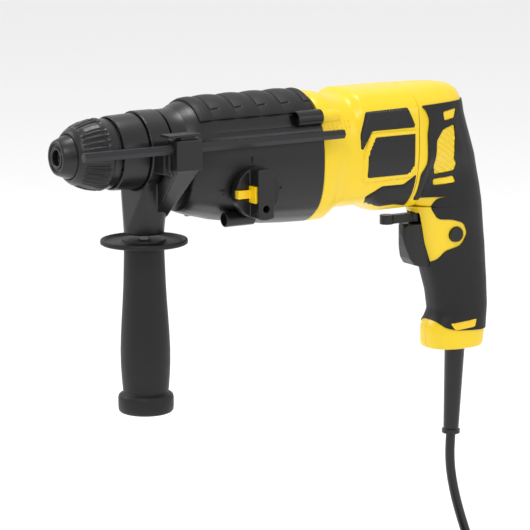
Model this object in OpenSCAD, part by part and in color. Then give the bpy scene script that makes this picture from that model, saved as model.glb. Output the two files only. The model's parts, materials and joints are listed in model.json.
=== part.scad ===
// Corded rotary hammer with side handle, drill chuck, hammer mechanism, motor and mains lead.
// X runs along the spindle (nose towards -X), +Z is up, the mode dial faces -Y.
// The origin is where the spindle axis meets the back of the rear grip.
// Stations named *_x are measured from the nose face and moved by from_nose().

/* [Overall] */
// Nose face to the palm side of the rear grip, along the spindle axis
tool_length = 332; // [326:1:345]
// Spindle axis to the lowest point of the grip's foot
grip_drop = 166; // [160:1:180]
// Half of the motor housing's greatest width
body_half_w = 37.5; // [36:0.5:40]
// Spindle axis to the underside of the gear case
case_drop = 61; // [60:0.5:64]
// Wall of the moulded shells
shell_wall = 3; // [2.4:0.1:3.4]

/* [Chuck and spindle] */
// Radius of the tool bore
bore_r = 5; // [4.9:0.05:5.1]
// Radius of the spindle's front tube
spindle_nose_r = 11; // [10.6:0.1:11.4]
// Radius of the spindle's rear tube
spindle_r = 14; // [13.5:0.1:14.5]
// Bore of the spindle's air cylinder
cylinder_r = 11; // [10:0.1:11.2]
// Travel of the locking sleeve
sleeve_travel = 5.5; // [4:0.5:6]
// Radius of a locking ball
ball_r = 3.5; // [3.2:0.1:3.6]

/* [Gears] */
// Module of the first gear pair
first_module = 0.8; // [0.75:0.05:0.8]
// Teeth of the armature pinion
pinion_teeth = 8; // [8:1:9]
// Teeth of the intermediate gear
first_gear_teeth = 39; // [38:1:40]
// Module of the second gear pair
second_module = 1.25; // [1.2:0.05:1.25]
// Teeth of the intermediate pinion
second_pinion_teeth = 12; // [11:1:12]
// Teeth of the spindle gear
spindle_gear_teeth = 42; // [40:1:42]

/* [Hammer mechanism] */
// Swing of the wobble ring each way, degrees
wobble_swing = 8; // [6:0.5:8.5]
// Radius of the wobble finger
finger_r = 2.35; // [2.2:0.05:2.5]

/* [Side handle] */
// Radius of the collar that the side handle clamps on
collar_r = 24; // [23:0.25:24.4]
// Radius of the hand guard disc
guard_disc_r = 30.5; // [28:0.5:33]
// Length of the side grip under the hand guard
side_grip_length = 119; // [105:1:130]
// Across flats of the depth rod
rod_flats = 6; // [5:0.5:6.5]
// Length of the depth rod
rod_length = 206; // [180:1:230]

/* [Controls] */
// Radius of the mode dial
dial_r = 17.7; // [16:0.1:18]
// Travel of the trigger
trigger_travel = 6.5; // [4:0.5:6.5]
// Radius of the lock-on button
lock_button_r = 5.5; // [4.5:0.1:6]

/* [Motor] */
// Outer radius of the field core
field_r = 31; // [28:0.5:31]
// Radius of the armature core
armature_r = 17.5; // [16:0.5:18]
// Radius of the cooling fan
fan_r = 28; // [24:0.5:30]

/* [Mains lead] */
// Diameter of the lead
lead_d = 7.2; // [6.6:0.1:7.6]

/* [Hidden] */
$fn = 64;
gap = 0.3;          // between pieces that move past each other
fit = 0.08;         // radial clearance of a running fit
seat = 0.02;        // radial clearance of a pressed seat
pin_fit = 0.05;     // radial clearance round a hinge pin
screw_r = 2;

// Axes
second_centres = second_module * (second_pinion_teeth + spindle_gear_teeth) / 2;
first_centres = first_module * (pinion_teeth + first_gear_teeth) / 2;
shaft_z = -second_centres;
motor_z = shaft_z + first_centres;

// Stations along the spindle
cap_seat_x = 4.5;
cap_rear_x = 12.5;
ball_x = 25;
plain_bore_x = ball_x - ball_r - 0.1;
bore_relief = 0.2;
flange_x = 45;
collar_x = 47;
nose_ring_x = 40;
clamp_x = 60.3;
clamp_w = 16.4;
neck_x = 78;
shoulder_x = 89;
case_x = 112;
cavity_x = 100;
case_rear_x = 193;
ring_rear_x = 206;
bolt_step_x = 62;
cylinder_x = 86;
spindle_rear_x = 142;
spindle_gear_x = 120;
spindle_gear_w = 10;
wobble_x = 148;
first_gear_x = 162;
first_gear_w = 6.5;
carrier_x = 136;
carrier_w = 4;
shaft_bearing_x = [101, 170];
shaft_bearing_w = 7;
bulkhead_x = 177;
bulkhead_w = 10;
motor_bearing_x = [179, 284];
motor_bearing_w = 7;
bearing_r = 11;
fan_x = 190;
field_x = 214;
field_w = 42;
commutator_x = 266;
commutator_w = 14;
commutator_r = 11;
brush_x = 273;
bracket_x = 281;
motor_shaft_r = 4;
shaft_r = 5;

// Case and grip
top_r = 33;
shelf_z = 12;
wide_z = -13;
foot_slope = 0.16;
dial_x = 134.5;
dial_z = -30;
dial_face_y = -38.5;
dial_bar_h = 11;
handle_x = 68;
disc_z = -62;
disc_w = 3.6;
rod_y = -45;
rod_z = 5.9;
rod_x = -2.5;
stop_x = 66;
stop_w = 20;
cup_screws = [[177, 30.5, 17], [121, 27, -49.5]];
trigger_z = [-71.8, -103.5];
trigger_half_w = 8;
lever_pivot_x = 294;
lever_z = [-64.2, -70.6];
lock_x = 317;
lock_z = -80;
switch_x = 313.3;
screw_spots = [[318, 13], [300, -47], [336, -46], [342, -112], [315, -128]];
lead_exit = [326, 0, -233];
guard_top = [329.5, 0, -160];
lead_r = lead_d / 2;

// Route of the lead from the guard to the coil, and from the coil to the plug
lead_route = [
    [326, 0, -233], [325.3, 0, -246], [326, 0, -260], [329, 0, -276], [333.5, 0, -292],
    [339, 0, -308], [344, -1, -322], [348, -5, -336], [350, -13, -347], [350, -24, -354],
    [348.5, -34, -357.5], [346, -44, -358]
];
tail_route = [
    [300, -88, -380.4], [286, -88, -380.2], [272, -88, -379], [258, -88, -375.5],
    [246, -88, -371], [234, -88, -367]
];
floor_z = -384;
coil_centre = [300, -42];
coil_turn_r = [38.5, 46];
layer_pitch = 7.5;
coil_layers = 4;
plug_x = 234;
plug_y = -88;
plug_z = -366;

// ---------- helpers ----------
// Moves a shape whose X is measured from the nose face into the part's frame
module from_nose() { translate([-tool_length, 0, 0]) children(); }
// Turns a shape made along Z so that it runs along X from station x
module along_x(x, y = 0, z = 0) { translate([x, y, z]) rotate([0, 90, 0]) children(); }
// Solid rod along X
module rod_x(x, w, r, y = 0, z = 0) { along_x(x, y, z) cylinder(r = r, h = w); }
// Tube along X
module tube_x(x, w, r_out, r_in, y = 0, z = 0) {
    difference() {
        rod_x(x, w, r_out, y, z);
        rod_x(x - 1, w + 2, r_in, y, z);
    }
}
// Solid rod along Y, from y to y + w
module rod_y(x, y, z, w, r) { translate([x, y + w, z]) rotate([90, 0, 0]) cylinder(r = r, h = w); }
// Plate in the XZ plane, from y to y + w
module plate_y(y, w) { translate([0, y + w, 0]) rotate([90, 0, 0]) linear_extrude(w) children(); }
// Profile of [station, radius] points turned about the X axis
module turned_x(points) {
    rotate([0, 90, 0]) rotate_extrude() polygon([for (p = points) [p[1], p[0]]]);
}
function unit(v) = v / norm(v);
function polar(r, a) = [r * cos(a), r * sin(a)];
function sign_pow(v, e) = sign(v) * pow(abs(v), e);

// Rounded outline of a section across X, in [y, z]: half width, top, bottom, widest z and the powers of
// its upper and lower halves
outline_points = 36;
function oval(half_w, top, bottom, wide, up_power, down_power) = [
    for (i = [0:outline_points - 1])
        let (a = 360 * i / outline_points, n = sin(a) >= 0 ? up_power : down_power,
             h = sin(a) >= 0 ? top - wide : wide - bottom)
        [half_w * sign_pow(cos(a), 2 / n), wide + h * sign_pow(sin(a), 2 / n)]
];
// Bar along X from station x, with an outline in [y, z]
module bar_x(x, w, outline) {
    translate([x, 0, 0]) rotate([90, 0, 90]) linear_extrude(w) polygon(outline);
}
// Both halves of an outline given for +Y, in [y, z]
function both_sides(half) = concat(half, [for (i = [len(half) - 1:-1:0]) [-half[i][0], half[i][1]]]);
// Both halves of a plan given as [x, half width]
function plan(half) = concat(half, [for (i = [len(half) - 1:-1:0]) [half[i][0], -half[i][1]]]);
// Skin over a list of rings, closed at both ends
module skin(rings) {
    n = len(rings[0]);
    last = len(rings) - 1;
    sides = [for (i = [0:last - 1]) for (j = [0:n - 1]) let (k = (j + 1) % n)
        each [[i * n + j, i * n + k, (i + 1) * n + k], [i * n + j, (i + 1) * n + k, (i + 1) * n + j]]];
    caps = [[for (j = [n - 1:-1:0]) j], [for (j = [0:n - 1]) last * n + j]];
    polyhedron(points = [for (r = rings) each r], faces = concat(sides, caps), convexity = 6);
}
// Round wire along a path; up is never along the path
module wire(path, r, sides, up) {
    last = len(path) - 1;
    skin([for (i = [0:last])
        let (t = unit(path[min(i + 1, last)] - path[max(i - 1, 0)]), n = unit(cross(up, t)), b = cross(t, n))
        [for (j = [0:sides - 1]) let (a = -360 * j / sides) path[i] + r * (cos(a) * n + sin(a) * b)]]);
}
// Coil spring along X
module spring_x(x, length, r, turns, wire_r) {
    steps = 14;
    wire([for (i = [0:turns * steps]) let (a = 360 * i / steps)
        [x + wire_r + (length - 2 * wire_r) * i / (turns * steps), r * cos(a), r * sin(a)]],
        wire_r, 6, [1, 0, 0]);
}
// Spur gear outline: module, teeth, addendum and dedendum in modules, angle of the first tooth
backlash = 0.14;
function involute(a) = tan(a) * 180 / PI - a;
function half_tooth(r, m, n) = (PI * m / 2 - backlash) / (m * n) * 180 / PI + involute(20)
    - involute(acos(min(1, m * n / 2 * cos(20) / r)));
function gear_outline(m, n, add, ded, first) =
    let (pitch = m * n / 2, base = pitch * cos(20), root = pitch - ded * m, tip = pitch + add * m,
         low = max(root, base), flank = [for (i = [0:4]) low + (tip - low) * i / 4],
         radii = root < low ? concat([root], flank) : flank)
    [for (k = [0:n - 1]) let (c = first + 360 * k / n)
        each concat([for (r = radii) polar(r, c - half_tooth(max(r, low), m, n))],
                    [for (i = [len(radii) - 1:-1:0]) polar(radii[i], c + half_tooth(max(radii[i], low), m, n))])];
// Gear along X, with its angles measured from +Y towards +Z
module gear_x(x, w, z, outline) {
    translate([x, 0, z]) rotate([90, 0, 90]) linear_extrude(w) polygon(outline);
}
module mirror_y() { children(); mirror([0, 1, 0]) children(); }

// ---------- chuck ----------
module dust_cap() {
    color("#1c1c1e") from_nose() difference() {
        turned_x([[0, bore_r + gap], [0, 11.4], [0.8, 12.2], [8.6, 15.4], [cap_rear_x, 15.4],
            [cap_rear_x, spindle_nose_r + seat], [cap_seat_x, spindle_nose_r + seat],
            [cap_seat_x, bore_r + gap]]);
        tube_x(-1, 2.4, 9.6, 7.4);
    }
}
sleeve_r = 25.2;
sleeve_rear_x = 39.2;
flutes = 16;
module locking_sleeve() {
    color("#1b1b1d") from_nose() difference() {
        turned_x([[9, 15.4 + gap], [9, 17.2], [11.5, 19.2], [16, 21.8], [22, 24], [28, sleeve_r],
            [31, sleeve_r], [33.5, 24.4], [34, 24.2], [sleeve_rear_x, 24.2], [sleeve_rear_x, 21],
            [18, 21], [12, 15.4 + gap]]);
        for (i = [0:flutes - 1]) rotate([360 * i / flutes, 0, 0])
            translate([20.5, 0, sleeve_r + 1.2]) rotate([0, 97, 0])
                cylinder(r1 = 2.6, r2 = 1.6, h = 18, center = true, $fn = 24);
    }
}
lock_ring_x = 22.5;
lock_ring_w = 6.5;
module lock_ring() {
    color("#8c8f94") from_nose() turned_x([[lock_ring_x, spindle_nose_r + 0.8],
        [lock_ring_x + 3, spindle_nose_r + 0.15], [lock_ring_x + lock_ring_w, spindle_nose_r + 0.15],
        [lock_ring_x + lock_ring_w, 21 - seat], [lock_ring_x, 21 - seat]]);
}
module sleeve_spring() {
    color("#9a9da1") from_nose()
        spring_x(lock_ring_x + lock_ring_w + 0.1, flange_x - lock_ring_x - lock_ring_w - 0.2, 14.2, 5, 0.8);
}
ball_out = 1.3;
ball_centre = spindle_nose_r - 0.2 - ball_r;
module locking_ball(side) {
    color("#c9ccd1") from_nose() translate([ball_x, 0, side * ball_centre]) sphere(r = ball_r);
}
module locking_ball_top() { locking_ball(1); }
module locking_ball_bottom() { locking_ball(-1); }

module spindle() {
    color("#84878c") from_nose() difference() {
        union() {
            rod_x(cap_seat_x + gap, flange_x - cap_seat_x - gap, spindle_nose_r);
            rod_x(flange_x, 1.5, 17);
            rod_x(flange_x + 1.5, bolt_step_x - flange_x - 1.5, 12.5);
            rod_x(bolt_step_x, 10, 13);
            rod_x(bolt_step_x + 10, spindle_rear_x - bolt_step_x - 10, spindle_r);
        }
        rod_x(0, plain_bore_x + 1, bore_r);
        difference() {
            rod_x(plain_bore_x, bolt_step_x + 1 - plain_bore_x, bore_r + bore_relief);
            mirror_y() translate([30, 4, -1.2]) cube([14, 2, 2.4]);
        }
        rod_x(bolt_step_x, cylinder_x - bolt_step_x, 7.5);
        rod_x(cylinder_x, spindle_rear_x, cylinder_r);
        for (side = [-1, 1]) scale([1, 1, side])
            translate([ball_x, 0, 4.2]) cylinder(r = ball_r + 0.1, h = 12);
    }
}
gear_root = 1.15;
module spindle_gear() {
    color("#7f8287") from_nose() difference() {
        gear_x(spindle_gear_x, spindle_gear_w, 0,
            gear_outline(second_module, spindle_gear_teeth, 0.7, gear_root, -90 + 180 / spindle_gear_teeth));
        rod_x(spindle_gear_x - 1, spindle_gear_w + 2, spindle_r + seat);
    }
}
module clutch_spring() {
    color("#9a9da1") from_nose()
        spring_x(cavity_x + 1.4, spindle_gear_x - cavity_x - 2, 17.4, 3, 1.4);
}
front_bearing_r = 19.5;
bush_r = 17;
module front_seal() {
    color("#202022") from_nose() tube_x(collar_x + 1, 4, 18 - seat, 12.5 + fit);
}

// ---------- hammer mechanism ----------
bolt_body_r = 7.4;
module impact_bolt() {
    color("#a4a7ab") from_nose() {
        rod_x(55, 11, bore_r + bore_relief - 0.1);
        rod_x(66, 14, bolt_body_r);
        rod_x(80, 8, bore_r - 0.1);
    }
}
module striker() {
    color("#a4a7ab") from_nose() difference() {
        union() {
            rod_x(90, 4, 5.5);
            rod_x(93, 15, cylinder_r - 0.1);
        }
        tube_x(102, 2, cylinder_r + 1, cylinder_r - 1.2);
    }
}
piston_x = 117;
piston_rear_x = 153.5;
piston_bore_r = 7;
pin_r = 4;
module piston() {
    color("#b4b0a4") from_nose() difference() {
        rod_x(piston_x, piston_rear_x - piston_x, cylinder_r - 0.1);
        rod_x(126, piston_rear_x - 125, piston_bore_r);
        tube_x(120, 2, cylinder_r + 1, cylinder_r - 1.2);
        rod_y(wobble_x, -12, 0, 24, pin_r + pin_fit);
        translate([wobble_x - 4.8, -3.2, -12]) cube([9.6, 6.4, 10]);
    }
}
module piston_pin() {
    color("#c2c5ca") from_nose() difference() {
        rod_y(wobble_x, -9.6, 0, 19.2, pin_r);
        translate([wobble_x, 0, -6]) cylinder(r = finger_r + fit, h = 12);
    }
}
wobble_r = 18.5;
wobble_bore_r = 15.2;
wobble_w = 9;
hub_r = 13;
module wobble_ring() {
    color("#8d9095") from_nose() {
        tube_x(wobble_x - wobble_w / 2, wobble_w, wobble_r, wobble_bore_r, 0, shaft_z);
        translate([wobble_x, 0, shaft_z + wobble_bore_r + 1]) cylinder(r = finger_r, h = second_centres + 4 - wobble_bore_r - 1);
    }
}
module wobble_hub() {
    color("#6f7277") from_nose() difference() {
        union() {
            rod_x(140.5, 15, 8.5, 0, shaft_z);
            translate([wobble_x, 0, shaft_z]) rotate([0, 0, wobble_swing]) rotate([0, 90, 0])
                cylinder(r = hub_r, h = 8, center = true);
        }
        rod_x(130, 40, shaft_r + seat, 0, shaft_z);
    }
}
module intermediate_shaft() {
    color("#84878c") from_nose() {
        rod_x(shaft_bearing_x[0], shaft_bearing_x[1] + shaft_bearing_w - shaft_bearing_x[0], shaft_r, 0, shaft_z);
        gear_x(spindle_gear_x - 1, spindle_gear_w + 2, shaft_z,
            gear_outline(second_module, second_pinion_teeth, 0.9, gear_root, 90));
    }
}
module intermediate_gear() {
    color("#7f8287") from_nose() difference() {
        gear_x(first_gear_x, first_gear_w, shaft_z,
            gear_outline(first_module, first_gear_teeth, 0.5, gear_root, 90 + 180 / first_gear_teeth));
        rod_x(first_gear_x - 1, first_gear_w + 2, shaft_r + seat, 0, shaft_z);
    }
}
shaft_bearing_r = [9.5, 11];
// The two bearings of the spindle and the two of the intermediate shaft
module gearcase_bearings() {
    color("#b9bcc1") from_nose() {
        tube_x(bolt_step_x, 8, front_bearing_r - seat, 13 + seat);
        tube_x(carrier_x - 0.5, carrier_w + 1, bush_r - seat, spindle_r + fit);
        for (i = [0, 1])
            tube_x(shaft_bearing_x[i], shaft_bearing_w, shaft_bearing_r[i] - seat, shaft_r + fit, 0, shaft_z);
    }
}
fork_travel = 2.5;
module shift_fork() {
    color("#74777c") from_nose() difference() {
        union() {
            tube_x(133.2, 3, 12, shaft_r + 1.5, 0, shaft_z);
            translate([133.2, -26, shaft_z - 4]) cube([3, 16, 8]);
        }
        translate([130, -5.5, shaft_z - 20]) cube([10, 40, 40]);
    }
}
module spindle_carrier() {
    color("#8e9094") from_nose() difference() {
        rod_x(carrier_x, carrier_w, top_r - shell_wall - 0.1);
        rod_x(carrier_x - 1, carrier_w + 2, bush_r);
        translate([carrier_x - 1, -40, -60]) cube([carrier_w + 2, 80, 42]);
    }
}

// ---------- gear case ----------
// Lower part of the case; grow moves every wall outwards
module case_body(grow, from, to) {
    intersection() {
        bar_x(from, to - from, oval(body_half_w - 0.5 + grow, shelf_z + grow, -case_drop - grow, wide_z, 6, 2.3));
        plate_y(-60, 120) polygon([[from, 60], [from, -43 - grow], [98, -47.5 - grow], [118, -53 - grow],
            [158, 0.5 - case_drop - grow], [to, -case_drop - grow], [to, 60]]);
        translate([0, 0, -100]) linear_extrude(200) polygon(plan([[from, 31 + grow], [98, 34.5 + grow],
            [118, body_half_w + 1 + grow], [to, body_half_w + 1 + grow]]));
    }
}
module gear_housing() {
    color("#262628") from_nose() difference() {
        union() {
            rod_x(collar_x, neck_x - collar_x, collar_r);
            turned_x([[neck_x, 0], [neck_x, 27], [79, 27.4], [shoulder_x, 28], [98, 31.4],
                [106, top_r - 0.4], [case_x, top_r], [case_rear_x, top_r], [case_rear_x, 0]]);
            case_body(0, shoulder_x, case_rear_x);
            mirror_y() {
                rod_x(cup_screws[0][0], case_rear_x - cup_screws[0][0], 5.6, cup_screws[0][1], cup_screws[0][2]);
                rod_x(cup_screws[1][0], 16, 5.6, cup_screws[1][1], cup_screws[1][2]);
            }
        }
        // spindle way, seal and bearing seats
        rod_x(collar_x - 1, 60, spindle_r + 1.5);
        rod_x(collar_x - 1, 6, 18);
        rod_x(bolt_step_x, 8, front_bearing_r);
        // gear space
        rod_x(cavity_x, case_rear_x, top_r - shell_wall);
        difference() {
            case_body(-shell_wall, shoulder_x, case_rear_x + 1);
            rod_x(cavity_x - 20, 20, 60);
            rod_x(cavity_x - 1, 9, 12.5, 0, shaft_z);
        }
        rod_x(cavity_x + 1, 20, shaft_bearing_r[0], 0, shaft_z);
        // dial seat and its spindle
        rod_y(dial_x, -60, dial_z, 60 + dial_face_y + 2, dial_r + 1);
        rod_y(dial_x, -60, dial_z, 40, 6 + fit);
        // screws
        mirror_y() for (s = cup_screws) {
            rod_x(s[0] - 1, 5, 4.4, s[1], s[2]);
            rod_x(s[0], 40, screw_r + seat, s[1], s[2]);
        }
    }
}
module nose_ring() {
    color("#232325") from_nose()
        turned_x([[nose_ring_x, 24.6], [nose_ring_x, 25.3], [41, 25.6], [59.6, 26.3], [59.6, collar_r + seat],
            [collar_x, collar_r + seat], [collar_x, 24.6]]);
}
// Ribbed rubber panel over the top of the case
armour_half_angle = 51;
rib_x = [110, 129, 148, 167, 186];
module top_armour() {
    color("#2b2b2d") from_nose() intersection() {
        difference() {
            turned_x(concat([[99, top_r - 1.2], [99, top_r - 0.9], [108, top_r + 0.9]],
                [for (x = rib_x) each [[x - 0.6, top_r + 1.1], [x, top_r + 2]]],
                [[191.5, top_r + 1], [191.5, top_r - 1]]));
            turned_x([[98, 0], [98, 31.4 + seat], [106, top_r - 0.4 + seat], [case_x, top_r + seat],
                [192, top_r + seat], [192, 0]]);
        }
        rotate([0, 90, 0]) rotate([0, 0, 180 - armour_half_angle])
            rotate_extrude(angle = 2 * armour_half_angle) translate([20, 90]) square([30, 110]);
    }
}
module bearing_bulkhead() {
    color("#9b9da1") from_nose() difference() {
        union() {
            intersection() {
                rod_x(bulkhead_x, bulkhead_w, 80);
                union() {
                    case_body(-shell_wall - 0.1, shoulder_x, case_rear_x);
                    rod_x(bulkhead_x, bulkhead_w, top_r - shell_wall - 0.1);
                }
            }
            rod_x(shaft_bearing_x[1], 10, shaft_bearing_r[1] + 2.5, 0, shaft_z);
        }
        rod_x(shaft_bearing_x[1] - 1, shaft_bearing_w + 1, shaft_bearing_r[1], 0, shaft_z);
        rod_x(shaft_bearing_x[1], 12, motor_shaft_r + 0.8, 0, motor_z);
        rod_x(motor_bearing_x[0], 20, bearing_r, 0, motor_z);
    }
}
// Screw along +Z, with its head's face at zero and a six-point socket in it
module screw(grip) {
    difference() {
        union() {
            cylinder(r = 4, h = 3.4);
            translate([0, 0, 3.4]) cylinder(r = screw_r, h = grip);
        }
        translate([0, 0, -1]) linear_extrude(3.2) for (a = [0:60:120]) rotate(a)
            square([3.6, 1], center = true);
    }
}
module case_screws() {
    color("#d7dade") from_nose() {
        mirror_y() for (s = cup_screws) along_x(s[0] + 0.6, s[1], s[2]) screw(s == cup_screws[0] ? 24 : 10);
        for (s = screw_spots) translate([s[0], 11.4, s[1]]) rotate([90, 0, 0]) screw(18);
    }
}

// ---------- mode dial ----------
dial_bar_w = 12.5;
button_press = 1.8;
module selector_knob() {
    color("#222224") from_nose() difference() {
        union() {
            rod_y(dial_x, dial_face_y - 5, dial_z, 7 - gap, dial_r);
            intersection() {
                translate([dial_x - dial_bar_w / 2, dial_face_y - 5 - dial_bar_h, dial_z - dial_r])
                    cube([dial_bar_w, dial_bar_h + 1, 2 * dial_r]);
                rod_y(dial_x, dial_face_y - 20, dial_z, 30, dial_r);
            }
            rod_y(dial_x, dial_face_y, dial_z, 10, 6);
            rod_y(dial_x - fork_travel / 2, dial_face_y, dial_z, 11, 1.8);
        }
        // seat of the release button in the bar's side
        translate([dial_x - dial_bar_w / 2 - 1, dial_face_y - 5 - 9.2, dial_z - 6.2])
            cube([button_press + 1.6, 9, 12.4]);
        translate([dial_x - dial_r - 1, dial_face_y - 7.4, dial_z - 3.2])
            cube([dial_r, 5.2, 6.4]);
        rod_y(dial_x, dial_face_y - 20, dial_z - 10, 12, 2.6);
    }
}
module selector_button() {
    color("#f2d500") from_nose() {
        translate([dial_x - dial_bar_w / 2 - 1.6, dial_face_y - 13.9, dial_z - 5.8]) cube([2, 8.4, 11.6]);
        translate([dial_x - dial_r + 0.6, dial_face_y - 7.1, dial_z - 2.9])
            cube([dial_r - dial_bar_w / 2 - 1.4, 4.4, 5.8]);
    }
}

// ---------- motor ----------
module field_core() {
    color("#6d7076") from_nose() difference() {
        rod_x(field_x, field_w, field_r, 0, motor_z);
        rod_x(field_x - 1, field_w + 2, armature_r + 0.7, 0, motor_z);
        for (a = [0, 180]) translate([0, 0, motor_z]) rotate([a, 0, 0])
            translate([field_x - 1, 16, -10]) cube([field_w + 2, 9, 20]);
    }
}
module field_coils() {
    color("#a5521f") from_nose() for (x = [field_x - 6.2, field_x + field_w + 0.2], a = [45, 225])
        translate([x, 0, motor_z]) rotate([90, 0, 90]) rotate([0, 0, a])
            rotate_extrude(angle = 90) translate([20, 0]) square([7, 6]);
}
module armature_shaft() {
    color("#9a9da1") from_nose() {
        rod_x(171, motor_bearing_x[1] + motor_bearing_w - 171, motor_shaft_r, 0, motor_z);
        gear_x(159.8, 12, motor_z, gear_outline(first_module, pinion_teeth, 0.94, gear_root, -90));
    }
}
core_slots = 12;
module armature_core() {
    color("#63666c") from_nose() difference() {
        rod_x(field_x + 1, field_w - 2, armature_r, 0, motor_z);
        rod_x(field_x, field_w, motor_shaft_r + seat, 0, motor_z);
        translate([field_x, 0, motor_z]) for (i = [0:core_slots - 1]) rotate([360 * i / core_slots, 0, 0])
            translate([0, -0.9, armature_r - 6]) cube([field_w, 1.8, 8]);
    }
}
module armature_windings() {
    color("#b4642a") from_nose() for (x = [field_x - 7, field_x + field_w - 0.9]) difference() {
        translate([x, 0, motor_z]) turned_x([[0, 0], [0, 12], [2, 15], [5.5, 15], [7.9, 12.5], [7.9, 0]]);
        rod_x(x - 1, 10, motor_shaft_r + seat, 0, motor_z);
    }
}
module commutator() {
    color("#c07a45") from_nose() difference() {
        rod_x(commutator_x, commutator_w, commutator_r, 0, motor_z);
        rod_x(commutator_x - 1, commutator_w + 2, motor_shaft_r + seat, 0, motor_z);
        translate([commutator_x - 1, 0, motor_z]) for (i = [0:23]) rotate([15 * i, 0, 0])
            translate([0, -0.2, commutator_r - 1]) cube([commutator_w + 2, 0.4, 2]);
    }
}
fan_blades = 11;
module cooling_fan() {
    color("#2f3236") from_nose() difference() {
        union() {
            rod_x(fan_x + 8, 1.6, fan_r, 0, motor_z);
            rod_x(fan_x, 9, 8, 0, motor_z);
            translate([fan_x + 1, 0, motor_z]) for (i = [0:fan_blades - 1]) rotate([360 * i / fan_blades, 0, 0])
                translate([0, 4, 7]) rotate([14, 0, 0]) cube([7.5, 1.6, fan_r - 9.5]);
        }
        rod_x(fan_x - 1, 14, motor_shaft_r + seat, 0, motor_z);
    }
}
rear_bearing_r = 9.5;
module motor_bearings() {
    color("#b9bcc1") from_nose() {
        tube_x(motor_bearing_x[0], motor_bearing_w, bearing_r - seat, motor_shaft_r + fit, 0, motor_z);
        tube_x(motor_bearing_x[1], motor_bearing_w, rear_bearing_r - seat, motor_shaft_r + fit, 0, motor_z);
    }
}
brush_w = 7;
brush_h = 6;
brush_start = commutator_r + 0.1;
brush_l = 10;
module brush(side) {
    color("#3a3a3c") from_nose() translate([brush_x - brush_w / 2, side > 0 ? brush_start : -brush_start - brush_l,
        motor_z - brush_h / 2]) cube([brush_w, brush_l, brush_h]);
}
module brush_left() { brush(-1); }
module brush_right() { brush(1); }
module brush_holders() {
    color("#b9954a") from_nose() mirror_y() difference() {
        translate([brush_x - 5, commutator_r + 2, motor_z - 4.5]) cube([10 + 2.9, 15, 9]);
        translate([brush_x - brush_w / 2 - 0.1, commutator_r + 1, motor_z - brush_h / 2 - 0.1])
            cube([brush_w + 0.2, 14.8, brush_h + 0.2]);
    }
}
module motor_bracket() {
    color("#3b3d42") from_nose() difference() {
        union() {
            rod_x(bracket_x, 3, 24, 0, motor_z);
            rod_x(bracket_x, 11, rear_bearing_r + 2.5, 0, motor_z);
            for (a = [35, 145, 215, 325]) {
                p = polar(27, a);
                rod_x(field_x + field_w, bracket_x + 3 - field_x - field_w, 2.5, p[0], motor_z + p[1]);
                q = polar(22, a);
                hull() {
                    rod_x(bracket_x, 3, 3, p[0], motor_z + p[1]);
                    rod_x(bracket_x, 3, 3, q[0], motor_z + q[1]);
                }
            }
        }
        rod_x(motor_bearing_x[1], 20, rear_bearing_r, 0, motor_z);
        rod_x(bracket_x - 1, 10, commutator_r - 2, 0, motor_z);
    }
}

// ---------- motor housing and handle ----------
hump_z = 32;
body_drop = 53;
neck_rear_x = 224;
seam_x = 274;
handle_top_rear_x = tool_length - 4;
// Outline of the motor housing behind its neck
function body_oval(grow) = oval(35 + grow, hump_z + grow, -body_drop - grow, -8, 3.2, 2.8);
function ring_oval(grow) = oval(body_half_w + grow, 31.5 + grow, -case_drop - grow, wide_z, 2.2, 2.3);
function neck_oval(grow) = oval(35 + grow, 28.8 + grow, -body_drop - grow, wide_z, 2.3, 2.6);
housing_front = case_rear_x + gap;
module motor_housing() {
    color("#f7e11d") from_nose() difference() {
        union() {
            difference() {
                union() {
                    bar_x(housing_front, ring_rear_x - housing_front, ring_oval(0));
                    bar_x(ring_rear_x - 1, neck_rear_x - ring_rear_x + 1, neck_oval(0));
                    bar_x(neck_rear_x - 0.5, seam_x - neck_rear_x + 0.5, body_oval(0));
                }
                bar_x(case_rear_x - 1, 40, neck_oval(-shell_wall));
                bar_x(neck_rear_x + 2, 80, body_oval(-shell_wall));
            }
            mirror_y() difference() {
                rod_x(housing_front, 12, 4.6, cup_screws[0][1], cup_screws[0][2]);
                rod_x(housing_front - 1, 14, field_r - 2, 0, motor_z);
            }
        }
        mirror_y() rod_x(case_rear_x - 1, 16, screw_r + seat, cup_screws[0][1], cup_screws[0][2]);
    }
}
pad_w = 1.2;
upper_pad = [[229, 18], [265, 19], [270, 3], [236, 3], [228, -8.5], [225, -8.5], [225, 2]];
lower_pad = [[238, -50], [234, -44], [245, -35], [263, -35.4], [270, -38], [262, -48.5], [250, -50.5]];
label = [[233, -2], [272, -2], [273, -4], [273, -22], [265, -29], [228, -29], [228, -11]];
// Thin panels on both sides of the motor housing
module side_panels(w) {
    difference() {
        intersection() {
            bar_x(neck_rear_x, seam_x - neck_rear_x - gap, body_oval(w));
            mirror_y() plate_y(-60, 50) children();
        }
        bar_x(neck_rear_x - 1, 80, body_oval(0));
    }
}
module side_pads() {
    color("#1f1f21") from_nose() side_panels(pad_w) {
        polygon(upper_pad);
        polygon(lower_pad);
    }
}
module label_plates() { color("#111112") from_nose() side_panels(pad_w - 0.2) polygon(label); }

// Plan of the handle's upper part, as [x, half width]
function handle_plan(grow) = plan([[seam_x - 1, 36 + grow], [seam_x + 4, 35 + grow], [290, 31.5 + grow],
    [308, 26.5 + grow], [320, 21.5 + grow], [handle_top_rear_x - 1 + grow, 14], [handle_top_rear_x + grow, 0]]);
module handle_top(grow) {
    intersection() {
        bar_x(seam_x + (grow < 0 ? -1 : gap), 80, oval(35 + grow, hump_z + grow, -body_drop - 4 - grow, -8, 3.2, 2.8));
        translate([0, 0, -100]) linear_extrude(200) polygon(handle_plan(grow));
    }
}
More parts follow.
